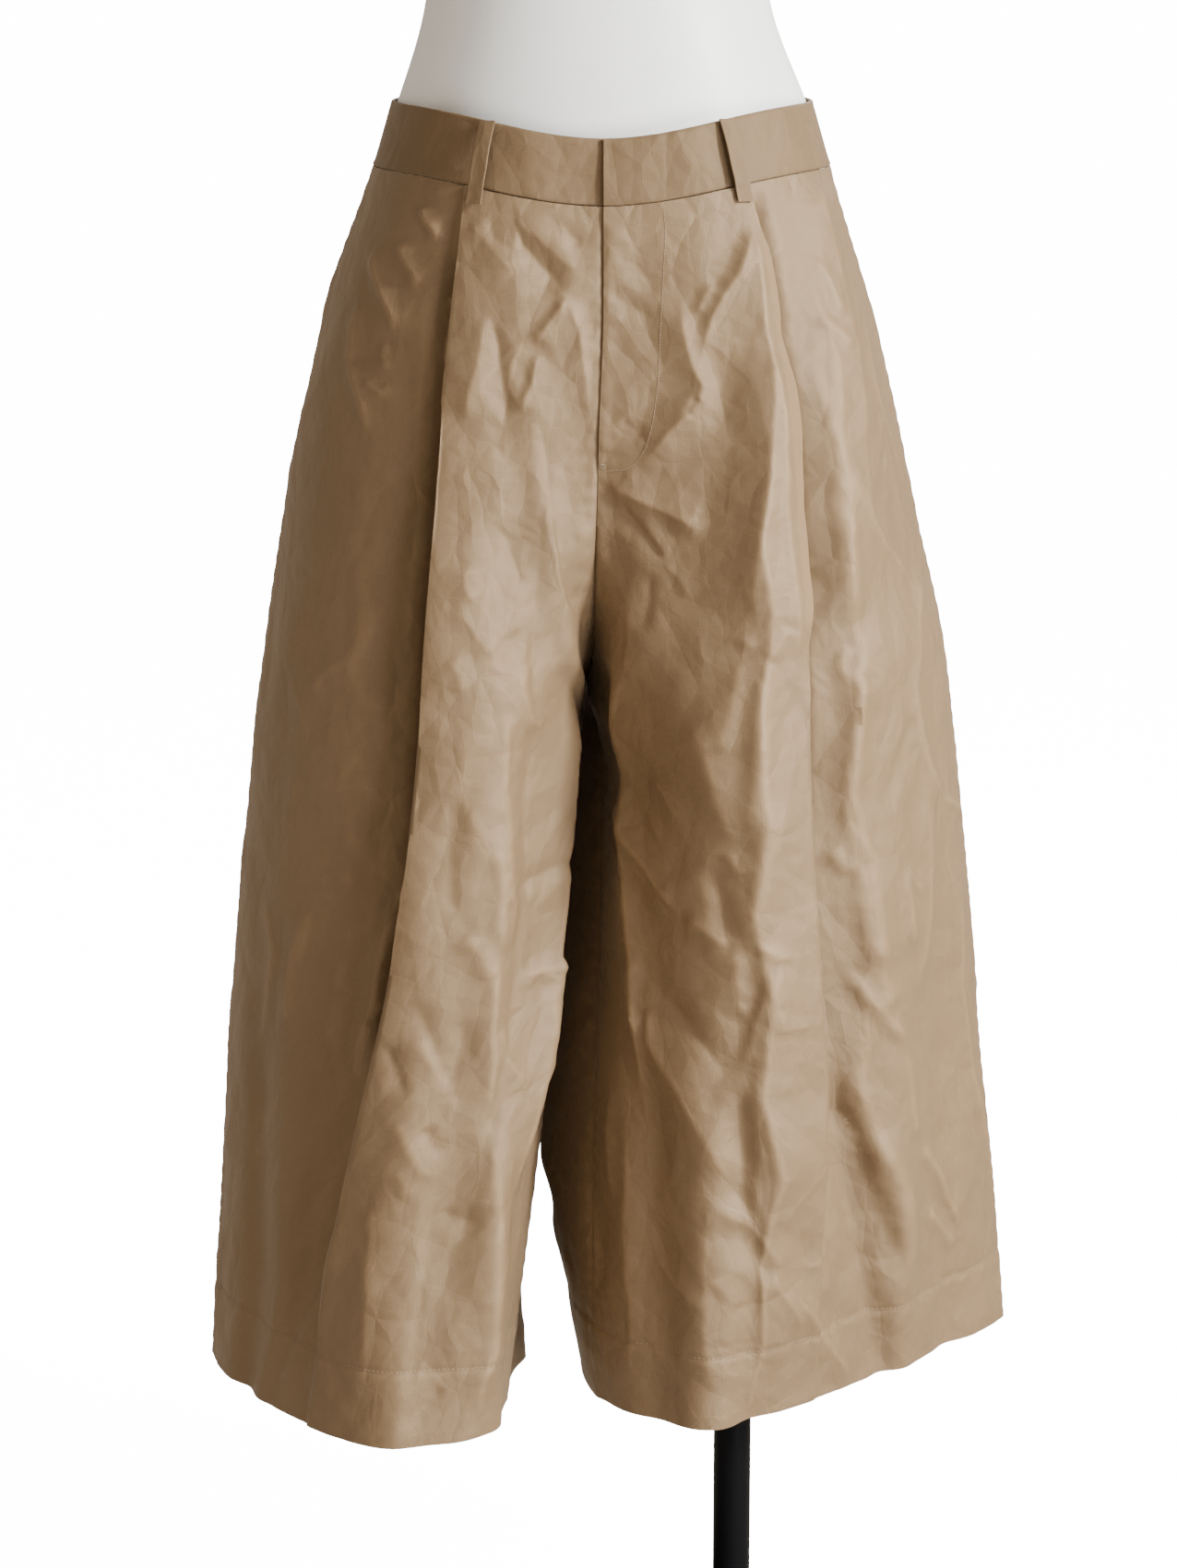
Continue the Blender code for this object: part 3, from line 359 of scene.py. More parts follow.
# Pressed creases on each part of a panel, in tenths of a millimetre: how far they stand out (or
# in, if negative), and how wide they are towards the centre seam and away from it. Then comes
# their line in millimetres: places across the part, and drops.
CREASES = {
    "front_left.centre": (
        (42, 81, 243, (-5, 63), (-12, 77), (-20, 91), (-30, 102), (-38, 114), (-44, 129), (-49, 139)),
        (21, 68, 108, (-33, 94), (-40, 100), (-44, 107), (-44, 112)),
        (51, 216, 189, (-55, 96), (-55, 109), (-55, 124), (-53, 142), (-48, 155), (-51, 164), (-59, 174),
         (-71, 184), (-82, 197), (-94, 208)),
        (-17, 54, 68, (-51, 162), (-60, 174)),
        (63, 324, 216, (-8, 128), (-10, 155), (-11, 170), (-14, 187), (-17, 203), (-18, 217), (-21, 238),
         (-25, 256), (-28, 273), (-30, 284), (-30, 297), (-32, 309)),
        (32, 108, 243, (-25, 323), (-27, 332), (-31, 353), (-32, 376), (-34, 401), (-37, 425), (-40, 444)),
        (14, 81, 68, (-10, 203), (-5, 221), (-5, 239), (-2, 261)),
        (37, 135, 203, (-115, 210), (-107, 220), (-95, 226), (-77, 234), (-60, 244), (-49, 245)),
        (-22, 135, 54, (-105, 226), (-101, 236), (-95, 244), (-90, 252), (-80, 268)),
        (-14, 121, 108, (-93, 69), (-77, 76), (-71, 88), (-69, 99)),
        (-14, 121, 108, (-98, 91), (-85, 101), (-70, 113)),
        (-14, 81, 81, (-100, 175), (-90, 182), (-91, 190)),
        (37, 297, 324, (-102, 273), (-107, 298), (-108, 321), (-112, 339), (-120, 353), (-131, 389),
         (-155, 429)),
        (57, 243, 297, (-155, 426), (-134, 442), (-120, 452), (-103, 463), (-88, 478), (-75, 492)),
        (39, 243, 162, (-66, 364), (-58, 386), (-54, 407), (-49, 426), (-45, 442)),
        (28, 189, 135, (-35, 326), (-41, 334), (-45, 354), (-50, 376), (-51, 389)),
        (28, 189, 324, (-18, 406), (-23, 435), (-29, 455), (-31, 474), (-40, 487), (-49, 504)),
        (30, 162, 162, (-77, 492), (-65, 495), (-53, 506)),
        (-30, 81, 108, (-57, 454), (-54, 481), (-53, 506)),
        (20, 81, 108, (-50, 444), (-47, 450), (-43, 460)),
        (11, 68, 68, (-32, 502), (-28, 509), (-22, 511)),
        (11, 81, 108, (-81, 267), (-72, 277), (-65, 290)),
        (-13, 108, 81, (-89, 273), (-93, 297), (-100, 315)),
        (17, 81, 135, (-13, 307), (-19, 318), (-27, 328)),
        (13, 108, 108, (-98, 406), (-86, 417), (-73, 432)),
        (13, 81, 108, (-39, 311), (-34, 321)),
        (11, 108, 54, (-15, 276), (-12, 292), (-14, 310)),
        (27, 135, 108, (-109, 522), (-126, 537), (-125, 552), (-115, 575)),
        (-35, 189, 189, (-105, 536), (-92, 547), (-77, 562), (-67, 576), (-56, 594)),
        (51, 324, 189, (-104, 535), (-104, 575), (-89, 597), (-76, 626), (-67, 655), (-60, 666)),
        (-35, 121, 135, (-56, 592), (-57, 626), (-56, 652), (-59, 666), (-56, 684)),
        (27, 135, 270, (-42, 573), (-48, 609), (-46, 639), (-52, 670), (-40, 697)),
        (35, 189, 108, (-48, 505), (-51, 526), (-51, 541), (-47, 552)),
        (23, 68, 189, (-23, 515), (-34, 535), (-43, 554), (-48, 571), (-55, 587)),
        (14, 68, 81, (-37, 503), (-28, 512), (-18, 513)),
        (14, 81, 81, (-28, 543), (-27, 557), (-9, 558)),
        (23, 135, 135, (-77, 670), (-54, 687), (-42, 702), (-28, 723)),
        (27, 270, 162, (-66, 657), (-76, 670), (-78, 692), (-83, 757), (-81, 801)),
        (22, 135, 135, (-43, 717), (-29, 740), (-14, 766)),
        (14, 108, 108, (-79, 716), (-64, 741)),
        (22, 203, 324, (-46, 704), (-45, 765), (-59, 819)),
        (20, 135, 270, (-129, 623), (-140, 694), (-137, 747), (-138, 812)),
        (14, 108, 108, (-119, 712), (-97, 728), (-82, 741)),
        (16, 108, 108, (-145, 606), (-155, 637), (-150, 697)),
        (12, 81, 81, (-6, 655), (-20, 669), (-37, 688)),
        (125, 520, 340, (-14, 110), (-20, 150), (-16, 200), (-25, 252), (-22, 300), (-32, 362), (-29, 430),
         (-38, 482), (-31, 540), (-41, 602), (-34, 655), (-49, 715), (-46, 765), (-66, 850)),
        (85, 320, 200, (-9, 47), (-6, 80), (-9, 125), (-6, 180), (-10, 235), (-7, 290), (-10, 350)),
        (90, 260, 400, (-125, 300), (-127, 380), (-128, 450), (-122, 530), (-118, 640)),
    ),
    "front_left.side": (
        (26, 81, 121, (37, 89), (45, 108), (50, 128)),
        (21, 68, 95, (31, 125), (44, 136), (56, 148)),
        (49, 324, 270, (23, 139), (31, 210), (37, 225), (36, 248), (35, 280), (34, 317)),
        (49, 162, 203, (29, 338), (38, 352), (39, 376), (38, 396), (34, 419), (32, 444)),
        (19, 81, 81, (37, 326), (29, 338), (35, 351)),
        (-61, 324, 135, (21, 586), (27, 626), (39, 643), (47, 669), (53, 688), (60, 710), (71, 735),
         (75, 757)),
        (49, 135, 270, (41, 637), (62, 672), (71, 700), (71, 723), (79, 751)),
        (38, 108, 81, (30, 531), (43, 549), (57, 565), (66, 577), (78, 588)),
        (41, 162, 135, (52, 514), (57, 543), (64, 566)),
        (29, 189, 189, (32, 216), (41, 229), (54, 248), (73, 271), (107, 297)),
        (29, 216, 189, (36, 241), (33, 279), (36, 305), (40, 315)),
        (-19, 81, 81, (40, 344), (57, 352)),
        (24, 189, 135, (124, 291), (105, 320), (97, 370)),
        (-16, 108, 81, (78, 211), (88, 238)),
        (19, 135, 68, (79, 74), (85, 91), (84, 114), (80, 136), (81, 159), (81, 175), (87, 194), (99, 205),
         (120, 228)),
        (42, 162, 135, (93, 352), (101, 381), (111, 408), (124, 427), (140, 438)),
        (24, 81, 68, (135, 438), (189, 462)),
        (36, 216, 189, (112, 414), (113, 474), (109, 511), (103, 535), (89, 563)),
        (36, 135, 81, (78, 474), (83, 496), (86, 530)),
        (24, 81, 108, (78, 472), (103, 496)),
        (36, 189, 162, (41, 417), (44, 448), (51, 463), (55, 509), (57, 543)),
        (32, 108, 108, (20, 452), (34, 471)),
        (32, 162, 189, (74, 594), (84, 662)),
        (41, 135, 162, (93, 662), (115, 689), (131, 712), (148, 739)),
        (28, 108, 108, (100, 708), (125, 732), (145, 751)),
        (28, 121, 54, (150, 501), (161, 519), (158, 573), (169, 636), (184, 686), (205, 748)),
        (-26, 162, 108, (97, 379), (75, 410), (60, 438)),
        (-65, 30, 130, (2, -80), (2, 60), (3, 180), (2, 300), (3, 480)),
        (60, 520, 500, (60, -60), (56, 60), (59, 150), (54, 240), (57, 330)),
        (105, 360, 800, (26, 50), (39, 150), (29, 240), (43, 330), (33, 420), (47, 520), (38, 610),
         (58, 700), (62, 830)),
    ),
    "front_left.whole": (
        (27, 189, 189, (-29, 732), (7, 777), (39, 819)),
        (14, 95, 95, (14, 717), (-17, 724)),
    ),
    "front_right.centre": (
        (19, 189, 135, (-5, 60), (-15, 66), (-31, 81), (-37, 87)),
        (-39, 149, 270, (-17, 51), (-35, 63), (-46, 73), (-59, 85), (-69, 94)),
        (19, 135, 135, (-30, 49), (-51, 64), (-77, 83)),
        (-19, 108, 108, (-50, 45), (-64, 55), (-77, 65)),
        (30, 189, 68, (-68, 94), (-65, 104), (-57, 117), (-50, 128)),
        (24, 95, 162, (-68, 94), (-78, 117), (-84, 145), (-89, 170), (-92, 184)),
        (-21, 81, 135, (-24, 110), (-31, 131), (-34, 148), (-37, 163), (-39, 180)),
        (24, 108, 189, (-22, 110), (-20, 143), (-16, 164), (-15, 185)),
        (21, 135, 54, (-58, 132), (-53, 139), (-52, 152), (-48, 163), (-48, 173)),
        (14, 108, 81, (-50, 122), (-42, 132), (-39, 143), (-39, 156), (-43, 163), (-49, 173)),
        (-45, 162, 351, (-51, 169), (-55, 172), (-62, 184), (-66, 200), (-69, 219), (-72, 237), (-79, 262),
         (-90, 288), (-111, 318)),
        (15, 68, 108, (-69, 220), (-72, 240), (-74, 257), (-78, 277), (-87, 297), (-102, 316)),
        (18, 135, 108, (-15, 292), (-20, 300), (-27, 309), (-32, 317), (-40, 326)),
        (22, 189, 135, (-19, 268), (-21, 282), (-26, 292)),
        (-28, 149, 270, (-33, 239), (-44, 252), (-53, 274), (-58, 287)),
        (-17, 135, 135, (-47, 310), (-52, 320), (-48, 336)),
        (29, 216, 121, (-54, 331), (-58, 350), (-63, 363), (-67, 370), (-82, 375)),
        (16, 41, 135, (-48, 361), (-49, 378), (-52, 412)),
        (14, 135, 81, (-16, 324), (-21, 338), (-24, 348)),
        (32, 270, 297, (-28, 356), (-26, 374), (-27, 403), (-26, 406), (-34, 424), (-42, 444), (-51, 467)),
        (-22, 135, 189, (-26, 405), (-25, 424), (-25, 452), (-28, 474), (-34, 489)),
        (18, 108, 108, (-37, 494), (-48, 510), (-57, 527)),
        (30, 162, 189, (-49, 392), (-51, 419), (-54, 431), (-55, 440), (-60, 474), (-64, 481), (-65, 497),
         (-65, 521)),
        (22, 108, 108, (-46, 436), (-52, 458), (-54, 475), (-57, 495), (-62, 514)),
        (40, 189, 189, (-56, 502), (-60, 537), (-64, 561), (-69, 577), (-77, 616)),
        (43, 189, 189, (-74, 602), (-80, 626), (-90, 652), (-101, 680), (-109, 706), (-116, 735),
         (-122, 765), (-119, 778), (-120, 792), (-128, 819)),
        (-23, 108, 108, (-150, 466), (-102, 466), (-75, 472), (-63, 478)),
        (43, 189, 108, (-116, 519), (-127, 531), (-97, 528), (-110, 537), (-107, 548), (-114, 575),
         (-117, 592), (-125, 618)),
        (22, 108, 108, (-67, 552), (-81, 579), (-93, 592), (-88, 604)),
        (-24, 108, 135, (-14, 533), (-23, 546), (-34, 566), (-43, 584), (-56, 604)),
        (-20, 108, 108, (-46, 548), (-49, 566), (-48, 584), (-49, 595)),
        (-22, 81, 108, (-6, 562), (-16, 580), (-27, 600)),
        (20, 121, 108, (-21, 557), (-35, 576), (-53, 600)),
        (22, 121, 121, (-22, 608), (-33, 627), (-45, 643), (-56, 650)),
        (-20, 81, 108, (-39, 615), (-53, 635)),
        (-27, 243, 270, (-53, 634), (-61, 671), (-66, 703), (-69, 731), (-74, 771), (-74, 802)),
        (-23, 135, 135, (-63, 670), (-79, 677), (-95, 683)),
        (16, 108, 108, (-30, 641), (-42, 655), (-35, 660)),
        (-16, 135, 135, (-95, 781), (-85, 796), (-73, 809)),
        (27, 216, 189, (-22, 658), (-36, 720), (-43, 779)),
        (130, 400, 340, (-108, 325), (-112, 414), (-116, 500), (-111, 580), (-113, 680)),
        (-60, 340, 600, (-62, 200), (-66, 350), (-74, 480), (-80, 620), (-86, 760)),
    ),
    "front_right.side": (
        (39, 162, 108, (71, 86), (56, 110), (43, 124), (41, 137)),
        (19, 54, 54, (46, 140), (49, 148), (44, 157)),
        (16, 81, 81, (62, 164), (47, 171), (38, 166)),
        (31, 162, 135, (72, 119), (77, 136), (77, 156), (64, 177), (52, 199)),
        (26, 162, 108, (46, 79), (39, 90), (22, 103)),
        (32, 135, 68, (30, 57), (25, 66), (12, 74)),
        (23, 216, 216, (39, 297), (56, 331), (101, 363)),
        (36, 81, 81, (11, 470), (19, 489), (24, 523), (26, 553), (32, 581), (30, 605)),
        (32, 81, 68, (18, 540), (16, 584), (15, 605)),
        (28, 81, 81, (13, 653), (4, 679), (5, 701), (14, 725), (11, 749)),
        (26, 189, 189, (82, 497), (93, 535), (92, 580)),
        (20, 135, 135, (141, 497), (114, 536), (126, 589)),
        (-80, 40, 180, (3, 10), (3, 150), (3, 300), (3, 500)),
        (-140, 80, 550, (4, 100), (4, 200), (4, 400), (4, 560), (4, 800)),
    ),
    "back_right.whole": (
        (30, 160, 120, (-130, 90), (-112, 150), (-108, 215)),
        (-26, 120, 140, (-40, 60), (-62, 128), (-58, 190)),
        (36, 200, 180, (-150, 260), (-168, 330), (-160, 420), (-178, 500)),
        (22, 100, 120, (-58, 200), (-70, 282), (-57, 338)),
        (-24, 140, 90, (-108, 350), (-122, 430), (-111, 540)),
        (32, 180, 140, (-62, 400), (-81, 492), (-70, 585), (-84, 660)),
        (18, 80, 100, (-200, 560), (-173, 600), (-148, 652)),
        (-20, 100, 100, (-114, 610), (-142, 690), (-135, 752)),
        (26, 160, 200, (-204, 640), (-218, 720), (-206, 790)),
        (16, 70, 90, (-24, 240), (-34, 320), (-26, 392)),
        (17, 80, 80, (-34, 560), (-46, 640), (-30, 722)),
    ),
    "back_left.whole": (
        (34, 180, 120, (-128, 120), (-106, 168), (-114, 250)),
        (-22, 120, 100, (-78, 70), (-60, 142), (-71, 202)),
        (26, 140, 160, (-32, 110), (-46, 192), (-34, 266), (-43, 320)),
        (38, 220, 160, (-170, 330), (-144, 402), (-160, 478), (-138, 560)),
        (-26, 120, 120, (-86, 280), (-101, 372), (-84, 450)),
        (20, 90, 120, (-30, 380), (-40, 452), (-32, 530)),
        (30, 160, 180, (-70, 500), (-88, 580), (-74, 660), (-82, 760)),
        (-18, 100, 80, (-190, 520), (-166, 582), (-176, 660)),
        (24, 150, 140, (-232, 600), (-244, 688), (-226, 770)),
        (16, 80, 80, (-118, 620), (-132, 690), (-120, 752)),
        (17, 80, 100, (-22, 600), (-36, 680), (-26, 742)),
    ),
}


# ---- Tables and curves ----


def smooth_steps(t):
    """0 before t = 0 and 1 after t = 1, with a soft start and end."""
    t = np.clip(t, 0, 1)
    return t * t * (3 - 2 * t)


def bell(distance, width):
    """1 on a line, dying away to both sides of it."""
    return np.exp(-(distance / width) ** 2)


def unit(vectors):
    return vectors / np.linalg.norm(vectors, axis=-1, keepdims=True)


def look_up(columns, rows, at):
    """The row of a table at any value of its first column, by a curve that never overshoots."""
    table = np.array(rows, float)
    key, values = table[:, 0], table[:, 1:]
    at = float(np.clip(at, key[0], key[-1]))
    steps = np.diff(values, axis=0) / np.diff(key)[:, None]
    before, after = steps[:-1], steps[1:]
    same_way = before * after > 0
    middle = np.where(same_way, 2 * before * after / np.where(same_way, before + after, 1), 0)
    slopes = np.vstack([steps[:1], middle, steps[-1:]])
    i = int(np.clip(np.searchsorted(key, at) - 1, 0, len(key) - 2))
    span = key[i + 1] - key[i]
    t = (at - key[i]) / span
    found = (
        (1 + 2 * t) * (1 - t) ** 2 * values[i]
        + t * (1 - t) ** 2 * span * slopes[i]
        + t * t * (3 - 2 * t) * values[i + 1]
        + t * t * (t - 1) * span * slopes[i + 1]
    )
    return dict(zip(columns[1:], found))


def bezier(start, start_handle, end_handle, end, count=60):
    t = np.linspace(0, 1, count)[:, None]
    return (
        (1 - t) ** 3 * start
        + 3 * t * (1 - t) ** 2 * start_handle
        + 3 * t * t * (1 - t) * end_handle
        + t**3 * end
    )


def lengths(line):
    """How far along a line each of its points is."""
    return np.concatenate([[0], np.cumsum(np.linalg.norm(np.diff(line, axis=0), axis=1))])


def read_line(line, along, at):
    return np.stack([np.interp(at, along, line[:, k]) for k in range(line.shape[1])], axis=1)


def trimmed(line, end):
    """A line cut off at a length."""
    return read_line(line, lengths(line), np.linspace(0, end, len(line)))


def lifted(line, side, along, out, step=0.003):
    """Points at a length along the line and a distance outwards from it, both given as arrays."""
    length = lengths(line)
    ahead = read_line(line, length, np.clip(along + step, 0, length[-1]))
    way = unit(ahead - read_line(line, length, np.clip(along - step, 0, length[-1])))
    normal = np.stack([way[:, 1], -way[:, 0]], axis=1) * side
    return read_line(line, length, along) + normal * out[:, None]


def length_at_x(line, x):
    """How far along a line it crosses x, counted past the line's turn nearest the middle."""
    length = lengths(line)
    outward = np.sign(line[-1, 0] - line[0, 0])
    first = int(np.argmin(line[:, 0] * outward))
    return float(np.interp(x * outward, line[first:, 0] * outward, length[first:]))


def rounded(path, soft, count=400):
    """A path of straight runs with its corners rounded, read at equal steps."""
    along = lengths(path)
    even = read_line(path, along, np.linspace(0, along[-1], count))
    reach = max(1, int(round(3 * soft / (along[-1] / count))))
    weights = np.exp(-0.5 * (np.arange(-reach, reach + 1) * along[-1] / count / soft) ** 2)
    weights /= weights.sum()
    padded = np.vstack([
        2 * even[0] - even[reach:0:-1], even, 2 * even[-1] - even[-2:-reach - 2:-1],
    ])
    return np.stack([np.convolve(padded[:, k], weights, "valid") for k in range(2)], axis=1)


def curve_through(points, count):
    """A smooth line through a few points."""
    points = np.array(points, float)
    along = lengths(points)
    rows = np.column_stack([along, points])
    columns = range(rows.shape[1])
    return np.array([
        list(look_up(columns, rows, at).values()) for at in np.linspace(0, along[-1], count)
    ])


# ---- The legs' form ----


def fly_lap(drop):
    """How far the right front runs on past the middle, under the left one."""
    return FLY_UNDERLAP * (1 - smooth_steps((drop - FLY_END + 1.5 * FLY_EASE) / FLY_EASE))


class Leg:
    """One leg's tables, and the side of the body it is on: -1 is the wearer's right."""

    def __init__(self, name, side, seam, outline, pleat):
        self.name, self.side = name, side
        self.seam, self.outline, self.pleat = seam, outline, pleat

    def pleat_at(self, drop):
        return look_up(PLEAT_COLUMNS, self.pleat, drop)

    def arc_from_seam(self, seam_point, turn, ahead, far_point, full):
        """The cloth from a seam to the ring's front (ahead = -1) or back (ahead = 1) point."""
        angle = math.radians(turn)
        leave = np.array([self.side * math.cos(angle), ahead * math.sin(angle)])
        dx, dy = np.abs(far_point - seam_point)
        reach = full * (dy * abs(math.sin(angle)) + SEAM_REACH * dx * abs(math.cos(angle)))
        arrive = np.array([self.side * full * dx, 0])
        return bezier(seam_point, seam_point + reach * leave, far_point - arrive, far_point)

    def arc_to_side(self, point, side_point, full):
        across = np.array([side_point[0] - point[0], 0])
        along = np.array([0, side_point[1] - point[1]])
        return bezier(point, point + full * across, side_point - full * along, side_point)

    def half(self, drop, ahead):
        """The ring from its seam to its side point, over the front (-1) or the back (1)."""
        seam = look_up(SEAM_COLUMNS, self.seam, drop)
        out = look_up(OUTLINE_COLUMNS, self.outline, drop)
        word = "front" if ahead < 0 else "back"
        start = np.array([seam["x"] + self.side * SEAM_GAP / 2, seam[word + "_y"]])
        if ahead < 0 and self.side < 0:
            start[0] += fly_lap(drop)
        if drop > CROTCH_DROP - 1e-6:
            start[1] = seam["front_y"] + ahead * SEAM_GAP / 2
        far = np.array([out[word + "_x"], out[word + "_y"]])
        side_point = np.array([out["side_x"], out["side_y"]])
        inner_full, side_full = (out["inner_full"], out["side_full"]) if ahead < 0 else (ROUND, ROUND)
        first = self.arc_from_seam(start, seam[word + "_turn"], ahead, far, inner_full)
        return np.vstack([first, self.arc_to_side(far, side_point, side_full)[1:]])


class BareLeg(Leg):
    """The right leg without the fly's underlap."""

    def half(self, drop, ahead):
        line = super().half(drop, ahead)
        if ahead < 0:
            line = line[line[:, 0] <= 0]
            line = np.vstack([[0, line[0, 1]], line])
        return line


RIGHT = Leg("right", -1, RIGHT_SEAM, RIGHT_OUTLINE, RIGHT_PLEAT)
LEFT = Leg("left", 1, LEFT_SEAM, LEFT_OUTLINE, LEFT_PLEAT)
RIGHT_BARE = BareLeg("right", -1, RIGHT_SEAM, RIGHT_OUTLINE, RIGHT_PLEAT)


def seam_lead(drop):
    """How far the side seam lies in front of the ring's widest point."""
    start, span = SEAM_SWING
    return SEAM_LEAD * (1 - smooth_steps((drop - start) / span))


def base_line(leg, drop, ahead):
    """The panel's plain line at a drop, from its centre seam or inseam to the side seam."""
    front, lead = leg.half(drop, -1), seam_lead(drop)
    if ahead < 0:
        opens, closes = POCKET_EASE
        mouth = smooth_steps((drop - POCKET_TOP) / opens) * smooth_steps((POCKET_END - drop) / closes)
        return trimmed(front, lengths(front)[-1] - lead - SEAM_GAP / 2 - mouth * POCKET_GAPE)
    return np.vstack([leg.half(drop, 1), trimmed(front[::-1], lead - SEAM_GAP / 2)[1:]])


def height_over(drop, x, ahead):
    """The height of points of the cloth. The waist dips at the front, and the hem is level."""
    half_width = look_up(OUTLINE_COLUMNS, RIGHT_OUTLINE, drop)["side_x"]
    dip = 1 - smooth_steps(abs(x / half_width) / DIP_REACH)
    fall = WAIST_DIP * dip * (1 - smooth_steps((drop - BAND_HEIGHT) / DIP_FADE))
    return WAIST_Z - drop - np.where(np.asarray(ahead) > 0, 0, fall)


def folds_on(panel, line, drop, along):
    """How far the soft folds of one part of a panel move it out, at each length along the line."""
    out = np.zeros_like(along)
    for name, top_x, bottom_x, top, bottom, width, height in FOLDS:
        if name == panel:
            share = np.clip((drop - top) / (bottom - top), 0, 1)
            x = top_x + (bottom_x - top_x) * share
            strength = smooth_steps(share / FOLD_ENDS[0]) * smooth_steps((1 - share) / FOLD_ENDS[1])
            out += height * strength * bell(along - length_at_x(line, x), width)
    return out


def centre_rise(leg, pleat, drop, edge, along):
    """How far the cloth between the centre seam and the pleat's edge stands out."""
    rise = pleat["lift"] * smooth_steps((along / edge - PLEAT_RISE) / (1 - PLEAT_RISE))
    if leg.side > 0:
        fly = 1 - smooth_steps((drop - FLY_END + 0.5 * FLY_EASE) / FLY_EASE)
        rise += FLY_LIFT * fly * (1 - smooth_steps(along / FLY_WIDTH))
    return rise


def pleat_path(leg, line, drop):
    """Length along the line and distance out from it, through the pleat's three layers."""
    pleat = leg.pleat_at(drop)
    total = lengths(line)[-1]
    edge = length_at_x(line, pleat["edge_x"])
    hidden = edge - pleat["tuck"]
    sink = pleat["sink"]
    name = "front_" + leg.name
    centre = np.linspace(0, edge, PLEAT_POINTS[0])
    rise = centre_rise(leg, pleat, drop, edge, centre)
    rise += folds_on(name + ".centre", line, drop, centre)
    rise[-1] = max(rise[-1], pleat["lift"])
    side = np.linspace(hidden, total, PLEAT_POINTS[1])[1:]
    fall = -sink * (1 - smooth_steps((side - hidden) / (PLEAT_FALL * (total - hidden))))
    grown = smooth_steps((side - hidden) / SIDE_FOLD_START)
    fall += folds_on(name + ".side", line, drop, side) * grown
    middle = -sink + CLOTH * 0.4 + PLEAT_MIDDLE * (rise[-1] + sink - PLEAT_LAYERS * CLOTH)
    turn = np.array([[edge, rise[-1]], [edge, middle], [hidden, middle], [hidden, -sink]])
    return np.stack([centre, rise], 1), turn, np.stack([side, fall], 1)


def front_row(leg, drop):
    """A front panel at a drop: its points in plan, their places across, the cloth used, how far
    each of them shows, and whether it is past the pleat's edge."""
    line = base_line(leg, drop, -1)
    centre, turn, side = pleat_path(leg, line, drop)
    soft = PLEAT_ROUND[0] + PLEAT_ROUND[1] * smooth_steps((drop - PLEAT_SOFTENS[0]) / PLEAT_SOFTENS[1])
    path = rounded(np.vstack([centre, turn[1:], side]), soft)
    along = lengths(path)
    marks = np.cumsum([
        0, lengths(centre)[-1], lengths(turn)[-1], lengths(np.vstack([turn[-1:], side]))[-1],
    ])
    marks = marks / marks[-1]
    shares = [0.0]
    for i, count in enumerate(FRONT_COLUMNS):
        steps = np.linspace(0, 1, count + 1)[1:]
        if i == len(FRONT_COLUMNS) - 1:
            steps = 1 - (1 - steps) ** SIDE_CROWDING
        shares += list(marks[i] + (marks[i + 1] - marks[i]) * steps)
    used = np.array(shares) * along[-1]
    at, out = read_line(path, along, used).T
    edge, hidden = turn[0, 0], turn[-1, 0]
    closed = 1 - smooth_steps((hidden - edge) / OPEN_PLEAT)
    past = smooth_steps((at - edge) / OPEN_EDGE)
    part = np.searchsorted(np.cumsum(FRONT_COLUMNS), np.arange(len(shares)) - 0.5)
    shown = np.choose(part, [np.ones_like(past), 1 - closed + 0 * past, 1 - closed * (1 - past)])
    beyond = np.where(part == 2, 1.0, np.where(part == 1, at > edge, 0.0))
    return lifted(line, leg.side, at, out), at - edge, used, shown, beyond


def back_row(leg, drop):
    """A back panel at a drop, as front_row gives a front one."""
    line = base_line(leg, drop, 1)
    along = np.linspace(0, lengths(line)[-1], BACK_COLUMNS + 1)
    plan = lifted(line, -leg.side, along, folds_on("back_" + leg.name + ".whole", line, drop, along))
    return plan, along - along[-1], lengths(plan), np.ones_like(along), np.zeros_like(along)


def panel_drops(rows):
    """Drops of a panel's rows, with one of them on the crotch and the last on the hem."""
    above = round(rows * ROWS_ABOVE_CROTCH)
    top = np.linspace(BAND_HEIGHT + SEAM_GAP, CROTCH_DROP, above + 1)
    return np.concatenate([top, np.linspace(CROTCH_DROP, LENGTH, rows - above + 1)[1:]])


# ---- Pressing ----


def outward_normals(grid, flip):
    """The direction out of the cloth at each point of a grid of rows and columns."""
    down, across = np.gradient(grid, axis=0), np.gradient(grid, axis=1)
    return unit(np.cross(across, down) if flip else np.cross(down, across))


def soften(field, times):
    """A field of numbers blurred a little, down and across in turn."""
    for _ in range(2 * times):
        wide = np.pad(field, ((1, 1), (0, 0)), "edge")
        field = ((wide[:-2] + 2 * field + wide[2:]) / 4).T
    return field


def ripple(along, wave, start=0.0):
    """Small uneven waves, as a line of stitches puckers the cloth."""
    length, wander, over = wave
    return np.sin(along / length + start + wander * np.sin(along / over + start))


